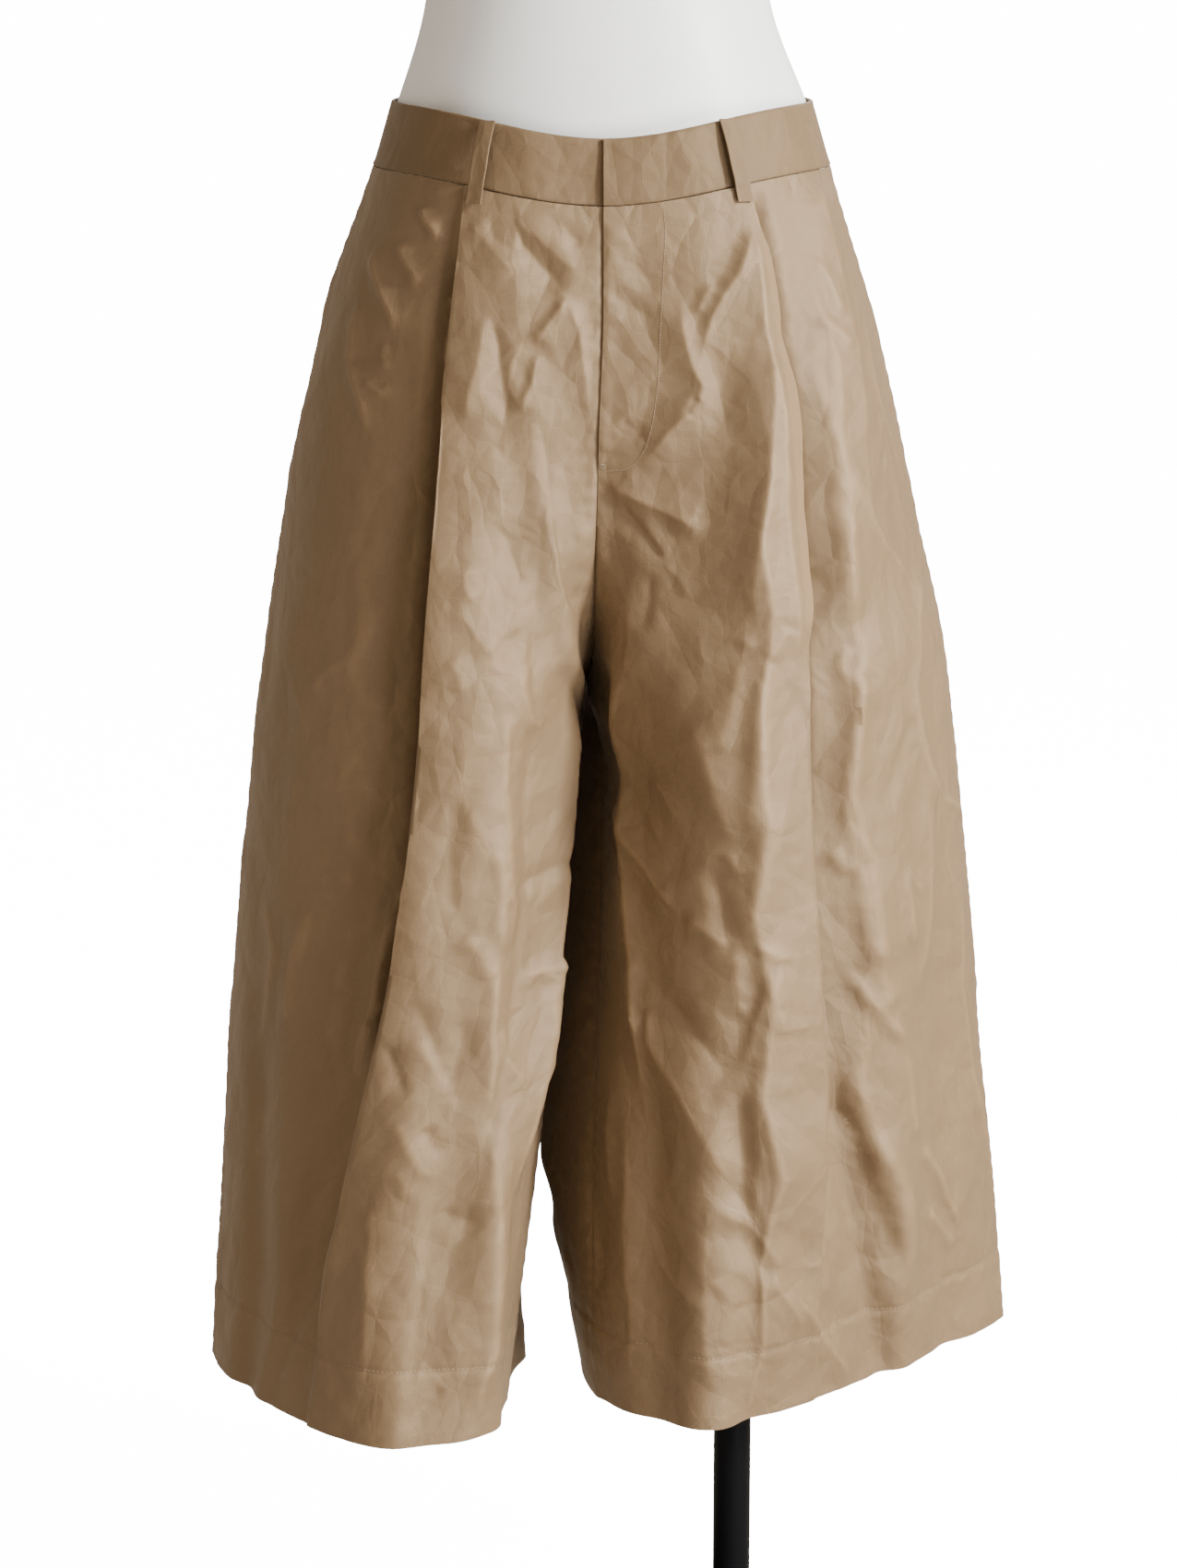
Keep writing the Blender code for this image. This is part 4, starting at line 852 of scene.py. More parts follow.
def crease(path, inner, outer, across, down):
    """One pressed line's height, 1 on the line and 0 past its widths, over points of the cloth."""
    near, shape = np.full(across.shape, np.inf), np.zeros(across.shape)
    total, gone = lengths(path)[-1], 0.0
    for start, end in zip(path, path[1:]):
        way = end - start
        length = np.linalg.norm(way)
        t = np.clip(((across - start[0]) * way[0] + (down - start[1]) * way[1]) / length**2, 0, 1)
        off_x, off_y = across - start[0] - t * way[0], down - start[1] - t * way[1]
        distance = np.hypot(off_x, off_y)
        side = np.where(way[1] * off_x - way[0] * off_y > 0, outer, inner)
        share = (gone + t * length) / total
        ends = smooth_steps(share / CREASE_FADE) * smooth_steps((1 - share) / CREASE_FADE)
        bent = np.hypot(distance / side, CREASE_TIP / side)
        height = np.clip(1 - bent, 0, 1) ** CREASE_POWER * ends
        shape = np.where(distance < near, height, shape)
        near = np.minimum(near, distance)
        gone += length
    return shape


def creases_on(part, strength, across, down):
    """How far the creases of one part of a panel stand out together."""
    total = np.zeros_like(across)
    for rise, inner, outer, *path in CREASES.get(part, ()):
        shape = crease(np.array(path) / 1000, inner / 10000, outer / 10000, across, down)
        total += strength * (rise / 10000) * shape
    return total


def crumple(seed, step, across, down):
    """Flat facets between scattered points, as crisp cloth takes them: heights from -1 to 1."""
    random = np.random.default_rng(seed)
    long_step = step * CRUMPLE_STRETCH
    grid_x, grid_y = np.meshgrid(
        np.arange(across.min() - step, across.max() + 2 * step, step),
        np.arange(down.min() - long_step, down.max() + 2 * long_step, long_step),
    )
    spots = np.stack([grid_x.ravel(), grid_y.ravel()], 1)
    stray = random.uniform(-CRUMPLE_SCATTER, CRUMPLE_SCATTER, spots.shape)
    spots = spots + stray * (step, long_step)
    heights = random.uniform(-1, 1, len(spots))
    found = geometry.delaunay_2d_cdt([Vector(spot) for spot in spots], [], [], 0, 1e-7)
    heights = np.array([heights[origins[0]] for origins in found[3]])
    spots = np.array([tuple(spot) for spot in found[0]])
    out = np.zeros(across.shape)
    for corners in found[2]:
        a, b, c = spots[list(corners)]
        inside = (across >= min(a[0], b[0], c[0])) & (across <= max(a[0], b[0], c[0]))
        inside &= (down >= min(a[1], b[1], c[1])) & (down <= max(a[1], b[1], c[1]))
        x, y = across[inside] - a[0], down[inside] - a[1]
        twice = (b[0] - a[0]) * (c[1] - a[1]) - (c[0] - a[0]) * (b[1] - a[1])
        s = (x * (c[1] - a[1]) - y * (c[0] - a[0])) / twice
        t = (y * (b[0] - a[0]) - x * (b[1] - a[1])) / twice
        height = heights[corners[0]] * (1 - s - t) + heights[corners[1]] * s + heights[corners[2]] * t
        covers = (s >= -1e-9) & (t >= -1e-9) & (s + t <= 1 + 1e-9)
        out.ravel()[np.flatnonzero(inside.ravel())[covers]] = height[covers]
    return out


class Panel:
    """The outer side of one panel: a grid of points, and where each of them lies on the cloth.

    Its place across is counted from the pleat's edge on a front and from the side seam on a back,
    and is less than nothing towards the centre seam and inseam.
    """

    def __init__(self, leg, ahead):
        self.leg, self.ahead = leg, ahead
        self.name = ("front_" if ahead < 0 else "back_") + leg.name
        self.flip = leg.side * ahead > 0
        self.drops = panel_drops(CLOTH_ROWS)
        rows = [(front_row if ahead < 0 else back_row)(leg, drop) for drop in self.drops]
        plan, self.across, self.measure, self.shown, self.beyond = map(np.array, zip(*rows))
        height = [height_over(drop, row[:, 0], ahead) for drop, row in zip(self.drops, plan)]
        self.points = np.dstack([plan, height])
        self.down = np.repeat(self.drops[:, None], self.across.shape[1], 1)
        self.used = self.measure - self.measure[:, [FRONT_COLUMNS[0] if ahead < 0 else -1]]
        self.out = outward_normals(self.points, self.flip)

    def pleat_room(self):
        """How far each point may be pressed in: over the pleat's fold, only until it meets it."""
        room = np.full(self.across.shape, np.inf)
        if self.ahead < 0:
            share, spare, more = PLEAT_ROOM
            for i, drop in enumerate(self.drops):
                pleat = self.leg.pleat_at(drop)
                apart = share * max(pleat["lift"] + pleat["sink"] - PLEAT_LAYERS * CLOTH, 0) + spare
                before = -pleat["tuck"] - self.across[i]
                over = (self.beyond[i] == 0) & (before < PLEAT_BESIDE)
                room[i] = np.where(over, apart + more * smooth_steps(before / PLEAT_BESIDE), np.inf)
        return room

    def to_seam(self, column):
        """How far each point is from the seam at the first or last column."""
        return np.linalg.norm(self.points - self.points[:, [column]], axis=2)

    def relief(self, strength, crumpling):
        """How far each point is pressed out of, or into, its soft form."""
        total = np.zeros_like(self.across)
        for part, on in (("centre", 1 - self.beyond), ("side", self.beyond), ("whole", 1.0)):
            total += creases_on(f"{self.name}.{part}", strength, self.across, self.down) * on
        apart = self.across + self.beyond * CRUMPLE_APART
        for k, (step, height) in enumerate(CRUMPLES):
            total += crumpling * height * crumple(CRUMPLE_SEEDS[self.name] + k, step, apart, self.down)
        total = np.maximum(total * self.shown, -self.pleat_room())
        centre, side = self.to_seam(0), self.to_seam(-1)
        if self.name == "front_right":
            centre = np.maximum(centre - fly_lap(self.down), 0)
        free = smooth_steps((self.down - BAND_HEIGHT) / BAND_GRIP)
        hold = 0.5 + 0.5 * smooth_steps((self.down - CROTCH_DROP) / CROTCH_GRIP)
        total *= free * smooth_steps(centre / SEAM_GRIP) ** hold * smooth_steps(side / SEAM_GRIP)
        hem = self.down - (LENGTH - HEM_DEPTH)
        total += HEM_STEP[0] * smooth_steps(hem / HEM_STEP[1]) - HEM_GROOVE[0] * bell(hem, HEM_GROOVE[1])
        for distance, start in ((centre, 0.0), (side, 1.7)):
            height, width = SEAM_PUCKER
            pucker = height * ripple(self.down, SEAM_WAVE, start)
            total += pucker * distance / width * np.exp(1 - distance / width) * self.shown
            total -= SEAM_GROOVE[0] * bell(distance, SEAM_GROOVE[1]) * free
        pucker = HEM_PUCKER[0] * ripple(self.measure, HEM_WAVE)
        return total + pucker * bell(hem, HEM_PUCKER[1]) * self.shown

    def press(self, strength, crumpling):
        relief = self.relief(strength, crumpling)
        self.points = self.points + relief[:, :, None] * self.out
        blurs, full = RIDGE
        self.ridge = np.clip(relief - soften(relief, blurs), -full, full) / full
        self.out = outward_normals(self.points, self.flip)

    def row_before(self, drop):
        """The last row over a drop, and the drop's share of the way from it to the next one."""
        row = float(np.interp(drop, self.drops, np.arange(len(self.drops))))
        low = min(int(row), len(self.drops) - 2)
        return low, row - low

    def at(self, across, drop):
        """The point, and the direction out, at a place across the centre part and a drop."""
        low, share = self.row_before(drop)
        last = FRONT_COLUMNS[0]
        found = []
        for field in (self.points, self.out):
            over, under = (
                np.array([np.interp(across, self.across[i, :last], field[i, :last, k]) for k in range(3)])
                for i in (low, low + 1)
            )
            found.append(over * (1 - share) + under * share)
        return found

    def row_at(self, drop):
        """The points and the directions out all along one drop."""
        low, share = self.row_before(drop)
        return [field[low] * (1 - share) + field[low + 1] * share for field in (self.points, self.out)]


def share_normals(first, second, rows, column):
    """Gives two panels one direction along their seam, so that their walls run side by side."""
    first[rows, column] = second[rows, column] = unit(first[rows, column] + second[rows, column])


@functools.lru_cache(maxsize=None)
def pressed_panels(strength, crumpling):
    """All four panels, pressed, with one direction out along each seam that two of them share."""
    panels = {}
    for leg in (RIGHT, LEFT):
        front, back = Panel(leg, -1), Panel(leg, 1)
        every_row = np.arange(len(front.drops))
        below_crotch = every_row[front.drops > CROTCH_DROP - 1e-6]
        for pressed in (False, True):
            share_normals(front.out, back.out, below_crotch, 0)
            share_normals(front.out, back.out, every_row, -1)
            if not pressed:
                front.press(strength, crumpling)
                back.press(strength, crumpling)
        panels.update({front.name: front, back.name: back})
    drops = panels["front_left"].drops
    for ahead, top in (("front_", FLY_END), ("back_", 0.0)):
        joined = np.flatnonzero((drops > top) & (drops < CROTCH_DROP + 1e-6))
        share_normals(panels[ahead + "right"].out, panels[ahead + "left"].out, joined, 0)
    return panels


def cloth_panels():
    """The panels, as the sidebar's settings ask for them."""
    settings = bpy.context.scene.culottes_cloth
    return pressed_panels(settings.crease_strength, settings.crumple)


# ---- Meshes ----


def add_piece(name, mesh, finish, flat_angle=40):
    """An object at the origin that carries a mesh and rides with the body."""
    piece = bpy.data.objects.new(name, mesh)
    mesh.materials.append(finish)
    bpy.context.scene.collection.objects.link(piece)
    mesh.shade_smooth()
    mesh.set_sharp_from_angle(angle=math.radians(flat_angle))
    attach(piece, BODY)
    return piece


def new_mesh(name, points, faces, pattern=None, ridge=None):
    """A mesh, with its place on the cloth in metres as a UV map, and how sharp each ridge is."""
    mesh = bpy.data.meshes.new(name)
    mesh.from_pydata(points.tolist(), [], faces)
    if pattern is not None:
        corners = np.empty(len(mesh.loops), np.int32)
        mesh.loops.foreach_get("vertex_index", corners)
        layer = mesh.uv_layers.new(name="cloth")
        layer.data.foreach_set("uv", pattern[corners].astype(np.float32).ravel())
    if ridge is not None:
        layer = mesh.attributes.new("ridge", "FLOAT", "POINT")
        layer.data.foreach_set("value", ridge.astype(np.float32).ravel())
    return mesh


def grid_faces(rows, columns, flip=False, around=False):
    """The quads of a grid of points that are counted row by row, its rows closed rings or not."""
    i, j = np.meshgrid(np.arange(rows - 1), np.arange(columns - (not around)), indexing="ij")
    here, after = i * columns, (j + 1) % columns
    quads = np.stack([here + j, here + columns + j, here + columns + after, here + after], -1)
    return quads.reshape(-1, 4)[:, ::-1 if flip else 1]


def shell(name, points, out, flip, wall, finish, measure, down, ridge, skip=1):
    """A closed thin shell: a grid of points is its outer side, and its wall is laid inside it.

    The wall's inner side has every point of the grid, or every second one where skip is 2.
    """
    thin = (slice(None, None, skip),) * 2
    inside, backed = points - wall * out, ridge[thin] * 0
    rows, columns = points.shape[:2]
    count = rows * columns
    faces = grid_faces(rows, columns, flip).tolist()
    faces += (grid_faces(*backed.shape, not flip) + count).tolist()
    ids = np.arange(count).reshape(rows, columns)
    backs = count + np.arange(backed.size).reshape(backed.shape)
    for side, turn in ((0, True), (-1, False)):
        for edge, behind, turned in (
            (ids[side], backs[side], turn), (ids[:, side], backs[:, side], not turn),
        ):
            for k in range(len(behind) - 1):
                rim = [behind[k], behind[k + 1], *edge[k * skip:(k + 1) * skip + 1][::-1]]
                faces.append(rim[::-1] if turned != flip else rim)
    pattern = np.stack([measure, down], -1)
    mesh = new_mesh(
        name, np.vstack([points.reshape(-1, 3), inside[thin].reshape(-1, 3)]), faces,
        np.vstack([pattern.reshape(-1, 2), pattern[thin].reshape(-1, 2)]),
        np.concatenate([ridge.ravel(), backed.ravel()]),
    )
    return add_piece(name, mesh, finish, 60)


def tube(name, rings, finish, pattern, flip):
    """A closed piece made of rings of points, with its two ends filled."""
    count, around = rings.shape[:2]
    last = (count - 1) * around
    ends = np.array([range(around), range(last + around - 1, last - 1, -1)])
    faces = grid_faces(count, around, flip, around=True).tolist()
    faces += (ends[:, ::-1] if flip else ends).tolist()
    mesh = new_mesh(name, rings.reshape(-1, 3), faces, pattern.reshape(-1, 2))
    return add_piece(name, mesh, finish)


# ---- The waistband, belt loops and pocket facings ----


@functools.lru_cache(maxsize=None)
def waist_line(drop):
    """The waist all round: centre front, right side, centre back, left side, centre front."""
    right_front, right_back = RIGHT_BARE.half(drop, -1), RIGHT_BARE.half(drop, 1)
    left_front, left_back = LEFT.half(drop, -1), LEFT.half(drop, 1)
    return np.vstack([right_front, right_back[::-1][1:], left_back[1:], left_front[::-1][1:]])


def round_strap(half_width, thickness, flats):
    """The outline of a strap's or band's cross-section: place across it and depth below its face,
    from one outer corner over the face, round the edge, back along the lining and round again."""
    radius = thickness / 2
    turn = np.linspace(0, math.pi, 7)[1:-1]
    face = np.linspace(-half_width + radius, half_width - radius, flats)
    over = np.stack([half_width - radius + radius * np.sin(turn), radius * (1 - np.cos(turn))], 1)
    under = np.stack([-half_width + radius - radius * np.sin(turn), radius * (1 + np.cos(turn))], 1)
    front = np.stack([face, 0 * face], 1)
    back = np.stack([face[::-1], 0 * face + thickness], 1)
    return np.vstack([front, over, back, under])


def band_point(share, drop, depth):
    """Points of the waistband, by their share of the way from its under end to its over end."""
    line = waist_line(round(float(drop), 5))
    total = lengths(line)[-1]
    line = np.vstack([[BAND_UNDERLAP, line[0, 1]], line])
    along = share * (total + BAND_UNDERLAP)
    from_start, to_end = along - BAND_UNDERLAP, total + BAND_UNDERLAP - along
    out = BAND_PROUD - BAND_DIP * (1 - smooth_steps(from_start / BAND_EASE))
    out = out + BAND_LIFT * (1 - smooth_steps(to_end / BAND_EASE))
    x, y = lifted(line, -1, along, out - depth).T
    return np.stack([x, y, height_over(drop, x, np.where(y < 0, -1, 1))], 1)


def band_length():
    return float(lengths(waist_line(0.0))[-1]) + BAND_UNDERLAP


def make_waistband(crumpling, finish):
    total = band_length()
    section = round_strap(BAND_HEIGHT / 2, BAND_WALL, BAND_ROWS)
    along = np.linspace(0, total, BAND_COLUMNS + 1)
    drops = BAND_HEIGHT / 2 - section[:, 0]
    grid = np.array([band_point(along / total, drop, depth) for drop, depth in zip(drops, section[:, 1])])
    grid = grid.transpose(1, 0, 2)
    across, down = np.meshgrid(along, drops, indexing="ij")
    step, height = BAND_FACETS
    relief = height * crumpling * crumple(CRUMPLE_SEEDS["waistband"], step, across, down)
    relief *= smooth_steps(np.minimum(down, BAND_HEIGHT - down) / BAND_EDGE)
    relief *= section[:, 1] < BAND_WALL / 2
    level = np.gradient(grid.mean(axis=1), axis=0)
    out = unit(np.stack([level[:, 1], -level[:, 0], 0 * level[:, 0]], 1))
    grid = grid + relief[:, :, None] * out[:, None]
    pattern = np.stack([across, down + section[None, :, 1]], -1)
    return tube("waistband_cloth", grid, finish, pattern, True)


def loop_frame(row, t):
    """A belt loop's middle at a share of its length: the point, and across."""
    _, top_x, bottom_x, ahead = row
    drop = t * (BAND_HEIGHT + LOOP_BELOW_BAND)
    middle = top_x + (bottom_x - top_x) * t
    line = np.vstack([RIGHT_BARE.half(drop, ahead)[::-1], LEFT.half(drop, ahead)[1:]])
    at = length_at_x(line, middle)
    under = BAND_PROUD
    ramp = float(smooth_steps((drop - BAND_HEIGHT + LOOP_RAMP) / (LOOP_RAMP - 0.001)))
    if ahead < 0 and ramp > 0:
        leg = LEFT if middle > 0 else RIGHT
        pleat = leg.pleat_at(drop)
        centre = length_at_x(line, 0)
        edge = abs(length_at_x(line, pleat["edge_x"]) - centre)
        over = float(centre_rise(leg, pleat, max(drop, BAND_HEIGHT), edge, abs(at - centre)))
        under += max(over - under, 0) * ramp
    out = under + SEAM_GAP + LOOP_WALL + LOOP_BOW * math.sin(math.pi * min(t / LOOP_BOW_END, 1))
    places = lifted(line, -ahead, np.array([at - 0.001, at, at + 0.001]), np.full(3, out))
    point = np.array([*places[1], height_over(drop, places[1][0], ahead)])
    return point, unit(np.array([*places[2] - places[0], 0]))


def loop_lines(row):
    """A belt loop's middle line, and the directions across it and out of it."""
    middles, across = map(np.array, zip(*[loop_frame(row, t) for t in np.linspace(0, 1, LOOP_ROWS + 1)]))
    ways = unit(np.gradient(middles, axis=0))
    return middles, across, unit(np.cross(ways, across) * row[3])


def make_belt_loop(row, finish):
    """A strap with rounded edges, drawn in a little by the stitched line along each edge."""
    middles, across, outs = loop_lines(row)
    section = round_strap(LOOP_WIDTH / 2, LOOP_WALL, LOOP_FLATS)
    depth, width = LOOP_GROOVE
    groove = depth * bell(np.abs(section[:, 0]) - LOOP_WIDTH / 2 + LOOP_STITCH_IN, width)
    depth = section[:, 1] + np.where(section[:, 1] < LOOP_WALL / 2, groove, 0)
    rings = (
        middles[:, None] + across[:, None] * section[None, :, :1] - outs[:, None] * depth[None, :, None]
    )
    pattern = np.stack(np.broadcast_arrays(section.sum(axis=1)[None], lengths(middles)[:, None]), -1)
    return tube(row[0] + "_strap", rings, finish, pattern, row[3] > 0)


def make_pocket_facing(leg, panel, finish):
    """The strip of cloth behind a pocket's open edge."""
    rows, columns = FACING_GRID
    over, under = FACING_PAST_ENDS
    drops = np.linspace(POCKET_TOP - over, POCKET_END + under, rows)
    grid = []
    for drop in drops:
        line = leg.half(drop, -1)
        seam = lengths(line)[-1] - seam_lead(drop)
        across = np.linspace(seam - FACING_WIDTH, seam + FACING_PAST, columns)
        x, y = lifted(line, leg.side, across, np.full(columns, -FACING_DEPTH)).T
        grid.append(np.stack([x, y, height_over(drop, x, -1)], 1))
    grid = np.array(grid)
    out = outward_normals(grid, panel.flip)
    measure, down = np.meshgrid(np.linspace(0, FACING_WIDTH + FACING_PAST, columns), drops)
    name = "pocket_facing_" + leg.name
    return shell(name, grid, out, panel.flip, CLOTH / 2, finish, measure, down, 0 * measure)


def seam_strip(panel, last, picked):
    """A panel's cloth within the allowance's width of a seam, the seam itself coming last."""
    rows = []
    for i in picked:
        along = panel.measure[i]
        at = along[-1] - ALLOWANCE if last else ALLOWANCE
        point, out = (read_line(field[i], along, at) for field in (panel.points, panel.out))
        rows.append(point - (CLOTH + SEAM_GAP) * out)
    return np.array(rows)


def make_allowance(name, first, second, last, span, finish):
    """The pressed-open allowances behind the seam of two panels, between two drops."""
    picked = np.flatnonzero((first.drops >= span[0]) & (first.drops <= span[1] + 1e-6))
    strips = [seam_strip(panel, last, picked) for panel in (first, second)]
    grid = np.concatenate([strips[0], strips[1][:, ::-1]], axis=1)
    middle = outward_normals(grid, False)[:, len(ALLOWANCE) - 1]
    flip = bool((middle * first.out[picked][:, -1 if last else 0]).sum() < 0)
    out = outward_normals(grid, flip)
    across, down = np.meshgrid([*ALLOWANCE, *-ALLOWANCE[::-1]], first.drops[picked])
    return shell(name, grid, out, flip, CLOTH / 2, finish, across, down, 0 * across)


def make_allowances(panels, finish):
    """The allowances behind all the seams."""
    top, crotch = BAND_HEIGHT + ALLOWANCE_INSET, CROTCH_DROP - ALLOWANCE_INSET
    below, hem = CROTCH_DROP + ALLOWANCE_INSET, LENGTH - ALLOWANCE_INSET
    return [
        make_allowance(name + "_allowance", panels[first], panels[second], last, span, finish)
        for name, first, second, last, span in (
            ("centre_front", "front_right", "front_left", False, (FLY_END, crotch)),
            ("centre_back", "back_right", "back_left", False, (top, crotch)),
            ("inseam_right", "front_right", "back_right", False, (below, hem)),
            ("inseam_left", "front_left", "back_left", False, (below, hem)),
            ("outseam_right", "front_right", "back_right", True, (POCKET_END, hem)),
            ("outseam_left", "front_left", "back_left", True, (POCKET_END, hem)),
        )
    ]


# ---- Stitching ----


def stitches(name, runs, finish):
    """Small rounded stitches along lines of points, each with the directions out of the cloth."""
    turns = np.linspace(0, 2 * math.pi, STITCH_SIDES + 1)[:-1]
    cos, sin = np.cos(turns)[None, :, None], np.sin(turns)[None, :, None]
    each = len(STITCH_PROFILE) * STITCH_SIDES
    sides = grid_faces(len(STITCH_PROFILE), STITCH_SIDES, around=True)[:, [0, 3, 2, 1]]
    ends = np.arange(STITCH_SIDES)
    points, faces, first = [], [], 0
    for line, outs, pitch, length, radius in runs:
        line, outs = np.array(line), np.array(outs)
        along = lengths(line)
        middles = np.arange(pitch / 2, along[-1], pitch)
        centre, out = read_line(line, along, middles), read_line(outs, along, middles)
        way = unit(read_line(line, along, middles + 0.0004) - read_line(line, along, middles - 0.0004))
        out = unit(out - (out * way).sum(1)[:, None] * way)
        across = np.cross(way, out)
        rings = [
            centre[:, None] + way[:, None] * place * length
            + (across[:, None] * cos + out[:, None] * sin) * radius * size
            + out[:, None] * radius * STITCH_SINK
            for place, size in STITCH_PROFILE
        ]
        points.append(np.stack(rings, 1).reshape(-1, 3))
        starts = first + each * np.arange(len(middles))
        faces += (starts[:, None, None] + sides).reshape(-1, 4).tolist()
        for start in starts:
            faces += [(start + ends[::-1]).tolist(), (start + each - STITCH_SIDES + ends).tolist()]
        first += each * len(middles)
    return add_piece(name, new_mesh(name, np.vstack(points), faces), finish, 80)


def fly_runs(panel):
    """The fly's J line, and the bar tack where it meets the centre seam."""
    line, outs = zip(*[panel.at(*place) for place in curve_through(FLY_LINE, 160)])
    runs = [(line, outs, FLY_PITCH, FLY_PITCH * STITCH_SHARE, THREAD_RADIUS)]
    across, middle = FLY_TACK
    for k in range(TACK_STITCHES):
        drop = middle + (k - TACK_STITCHES / 2) * TACK_PITCH
        ends = [panel.at(across + side * TACK_WIDTH / 2, drop + side * TACK_SLANT) for side in (-1, 1)]
        runs.append((*zip(*ends), TACK_WIDTH, TACK_WIDTH, THREAD_RADIUS))
    return runs


def hem_runs(panel):
    points, outs = panel.row_at(LENGTH - HEM_DEPTH)
    return [(points[1:-1], outs[1:-1], HEM_PITCH, HEM_PITCH * HEM_STITCH_SHARE, FINE_RADIUS)]


def loop_runs(row):
    middles, across, outs = loop_lines(row)
    inset = LOOP_WIDTH / 2 - LOOP_STITCH_IN
    lines = [middles + across * side * inset for side in (-1, 1)]
    size = (LOOP_PITCH, LOOP_PITCH * STITCH_SHARE, FINE_RADIUS)
    return [(line[1:-1], outs[1:-1], *size) for line in lines]


# ---- Finishes ----


class Value:
    """A shader socket that adds, multiplies and so on like a number."""

    def __init__(self, finish, socket):
        self.finish, self.socket = finish, socket

    def maths(self, operation, *numbers):
        return self.finish.add("ShaderNodeMath", {"operation": operation}, dict(enumerate(numbers)))

    def __add__(self, other):
        return self.maths("ADD", self, other)

    def __sub__(self, other):
        return self.maths("SUBTRACT", self, other)

    def __rsub__(self, other):
        return self.maths("SUBTRACT", other, self)

    def __mul__(self, other):
        return self.maths("MULTIPLY", self, other)

    __radd__, __rmul__ = __add__, __mul__

    def sine(self):
        return self.maths("SINE", self)

    def between(self, low, high):
        """0 below low and 1 above high, with a soft step between them."""
        return self.finish.add(
            "ShaderNodeMapRange", {"interpolation_type": "SMOOTHSTEP"},
            {"Value": self, "From Min": low, "From Max": high},
        )


class Finish:
    """A material, and one way to add any node to it."""

    def __init__(self, name):
        self.material = bpy.data.materials.new(name)
        self.material.use_nodes = True
        self.tree = self.material.node_tree
        self.shader = self.tree.nodes["Principled BSDF"]

    def add(self, kind, settings=None, values=None, output=0):
        node = self.tree.nodes.new(kind)
        for name, setting in (settings or {}).items():
            setattr(node, name, setting)
        for name, value in (values or {}).items():
            self.feed(node.inputs[name], value)
        return Value(self, node.outputs[output])

    def feed(self, socket, value):
        if isinstance(value, Value):
            self.tree.links.new(value.socket, socket)
        else:
            socket.default_value = value

    def shade(self, **values):
        """Feeds the shader: each name is a socket's, with _ for a space."""
        for name, value in values.items():
            self.feed(self.shader.inputs[name.replace("_", " ")], value)
        return self.material

    def place(self):
        """The point on the piece, in metres."""
        return self.add("ShaderNodeTexCoord", output="Object")

    def cloth_place(self):
        return self.add("ShaderNodeUVMap", {"uv_map": "cloth"})

    def parts(self, vector):
        split = self.add("ShaderNodeSeparateXYZ", values={0: vector}).socket.node
        return [Value(self, split.outputs[k]) for k in range(3)]

    def stretched(self, vector, scale):
        return self.add("ShaderNodeVectorMath", {"operation": "MULTIPLY"}, {0: vector, 1: scale})

    def noise(self, vector, scale, detail, roughness=0.5):
        values = {"Vector": vector, "Scale": scale, "Detail": detail, "Roughness": roughness}
        return self.add("ShaderNodeTexNoise", values=values)

    def mixed(self, share, first, second):
        """Two colours mixed: share 0 is all of the first."""
        first, second = (c if isinstance(c, Value) else (*c, 1) for c in (first, second))
        values = {"Factor": share, 6: first, 7: second}
        return self.add("ShaderNodeMix", {"data_type": "RGBA"}, values, output=2)

    def facets(self, vector, size):
        """Flat facets that meet in sharp edges, all of one steepness: heights in metres."""
        settings = {"feature": "DISTANCE_TO_EDGE", "voronoi_dimensions": "2D"}
        return self.add("ShaderNodeTexVoronoi", settings, {"Vector": vector, "Scale": 1 / size}) * size

    def bump(self, height, distance):
        values = {"Height": height, "Distance": distance, "Strength": 1.0}
        return self.add("ShaderNodeBump", values=values)


def scaled(colour, share):
    return tuple(channel * share for channel in colour)


def cloth_finish(settings, name="tan_cotton", share=1.0, gloss=0.60):
    """Crisp plain-woven cotton: fine threads, thicker here and there, and a paler colour on the crests of
    its creases and facets.
    """
    finish = Finish(name)
    cloth = finish.cloth_place()
    u, v, _ = finish.parts(cloth)
    turn = 2 * math.pi / THREAD_PITCH
    weave = (u * turn).sine() * (v * turn).sine()
    warp = finish.noise(finish.stretched(cloth, WARP_GRAIN), 1.0, 2.0)
    weft = finish.noise(finish.stretched(cloth, WEFT_GRAIN), 1.0, 2.0)
    slubs = (warp + weft - 1.0) * 2.0
    crest_paling = finish.add("ShaderNodeAttribute", {"attribute_name": "ridge"}, output="Fac")
    mottle = finish.noise(finish.place(), 9.0, 4.0, 0.55)
    base = scaled(settings.cloth_colour, share)
    colour = finish.mixed(mottle.between(0.3, 0.7), scaled(base, 0.95), scaled(base, 1.05))
    colour = finish.mixed((slubs * 0.5 + 0.5) * 0.22, colour, scaled(base, 0.78))
    # The base colour is made up to 1.15 times paler where the ridge attribute marks a crest.
    colour = finish.mixed(crest_paling.between(0.1, 1.0) * 0.5, colour, scaled(base, 1.3))
    tight, bend = CRINKLE_WANDER
    waves = {"Vector": cloth, "Scale": tight, "Detail": 2.0}
    wander = finish.add("ShaderNodeTexNoise", values=waves, output=1)
    drawn = finish.add(
        "ShaderNodeMix", {"data_type": "VECTOR"}, {"Factor": bend, 4: cloth, 5: wander}, output=1,
    )
    facets = sum(
        finish.facets(finish.stretched(drawn, (1.0, stretch, 1.0)), size) * steep
        for size, stretch, steep in CRINKLES
    )
    height = weave * THREAD_RISE + slubs * THREAD_RISE + facets
    return finish.shade(
        Base_Color=colour,
        Roughness=0.46 + slubs * 0.05,
        Specular_IOR_Level=gloss,
        Specular_Tint=GLOSS_TINT,
        Sheen_Weight=settings.sheen,
        Sheen_Roughness=0.35,
        Sheen_Tint=SHEEN_TINT,
        Normal=finish.bump(height, 1.0),
    )


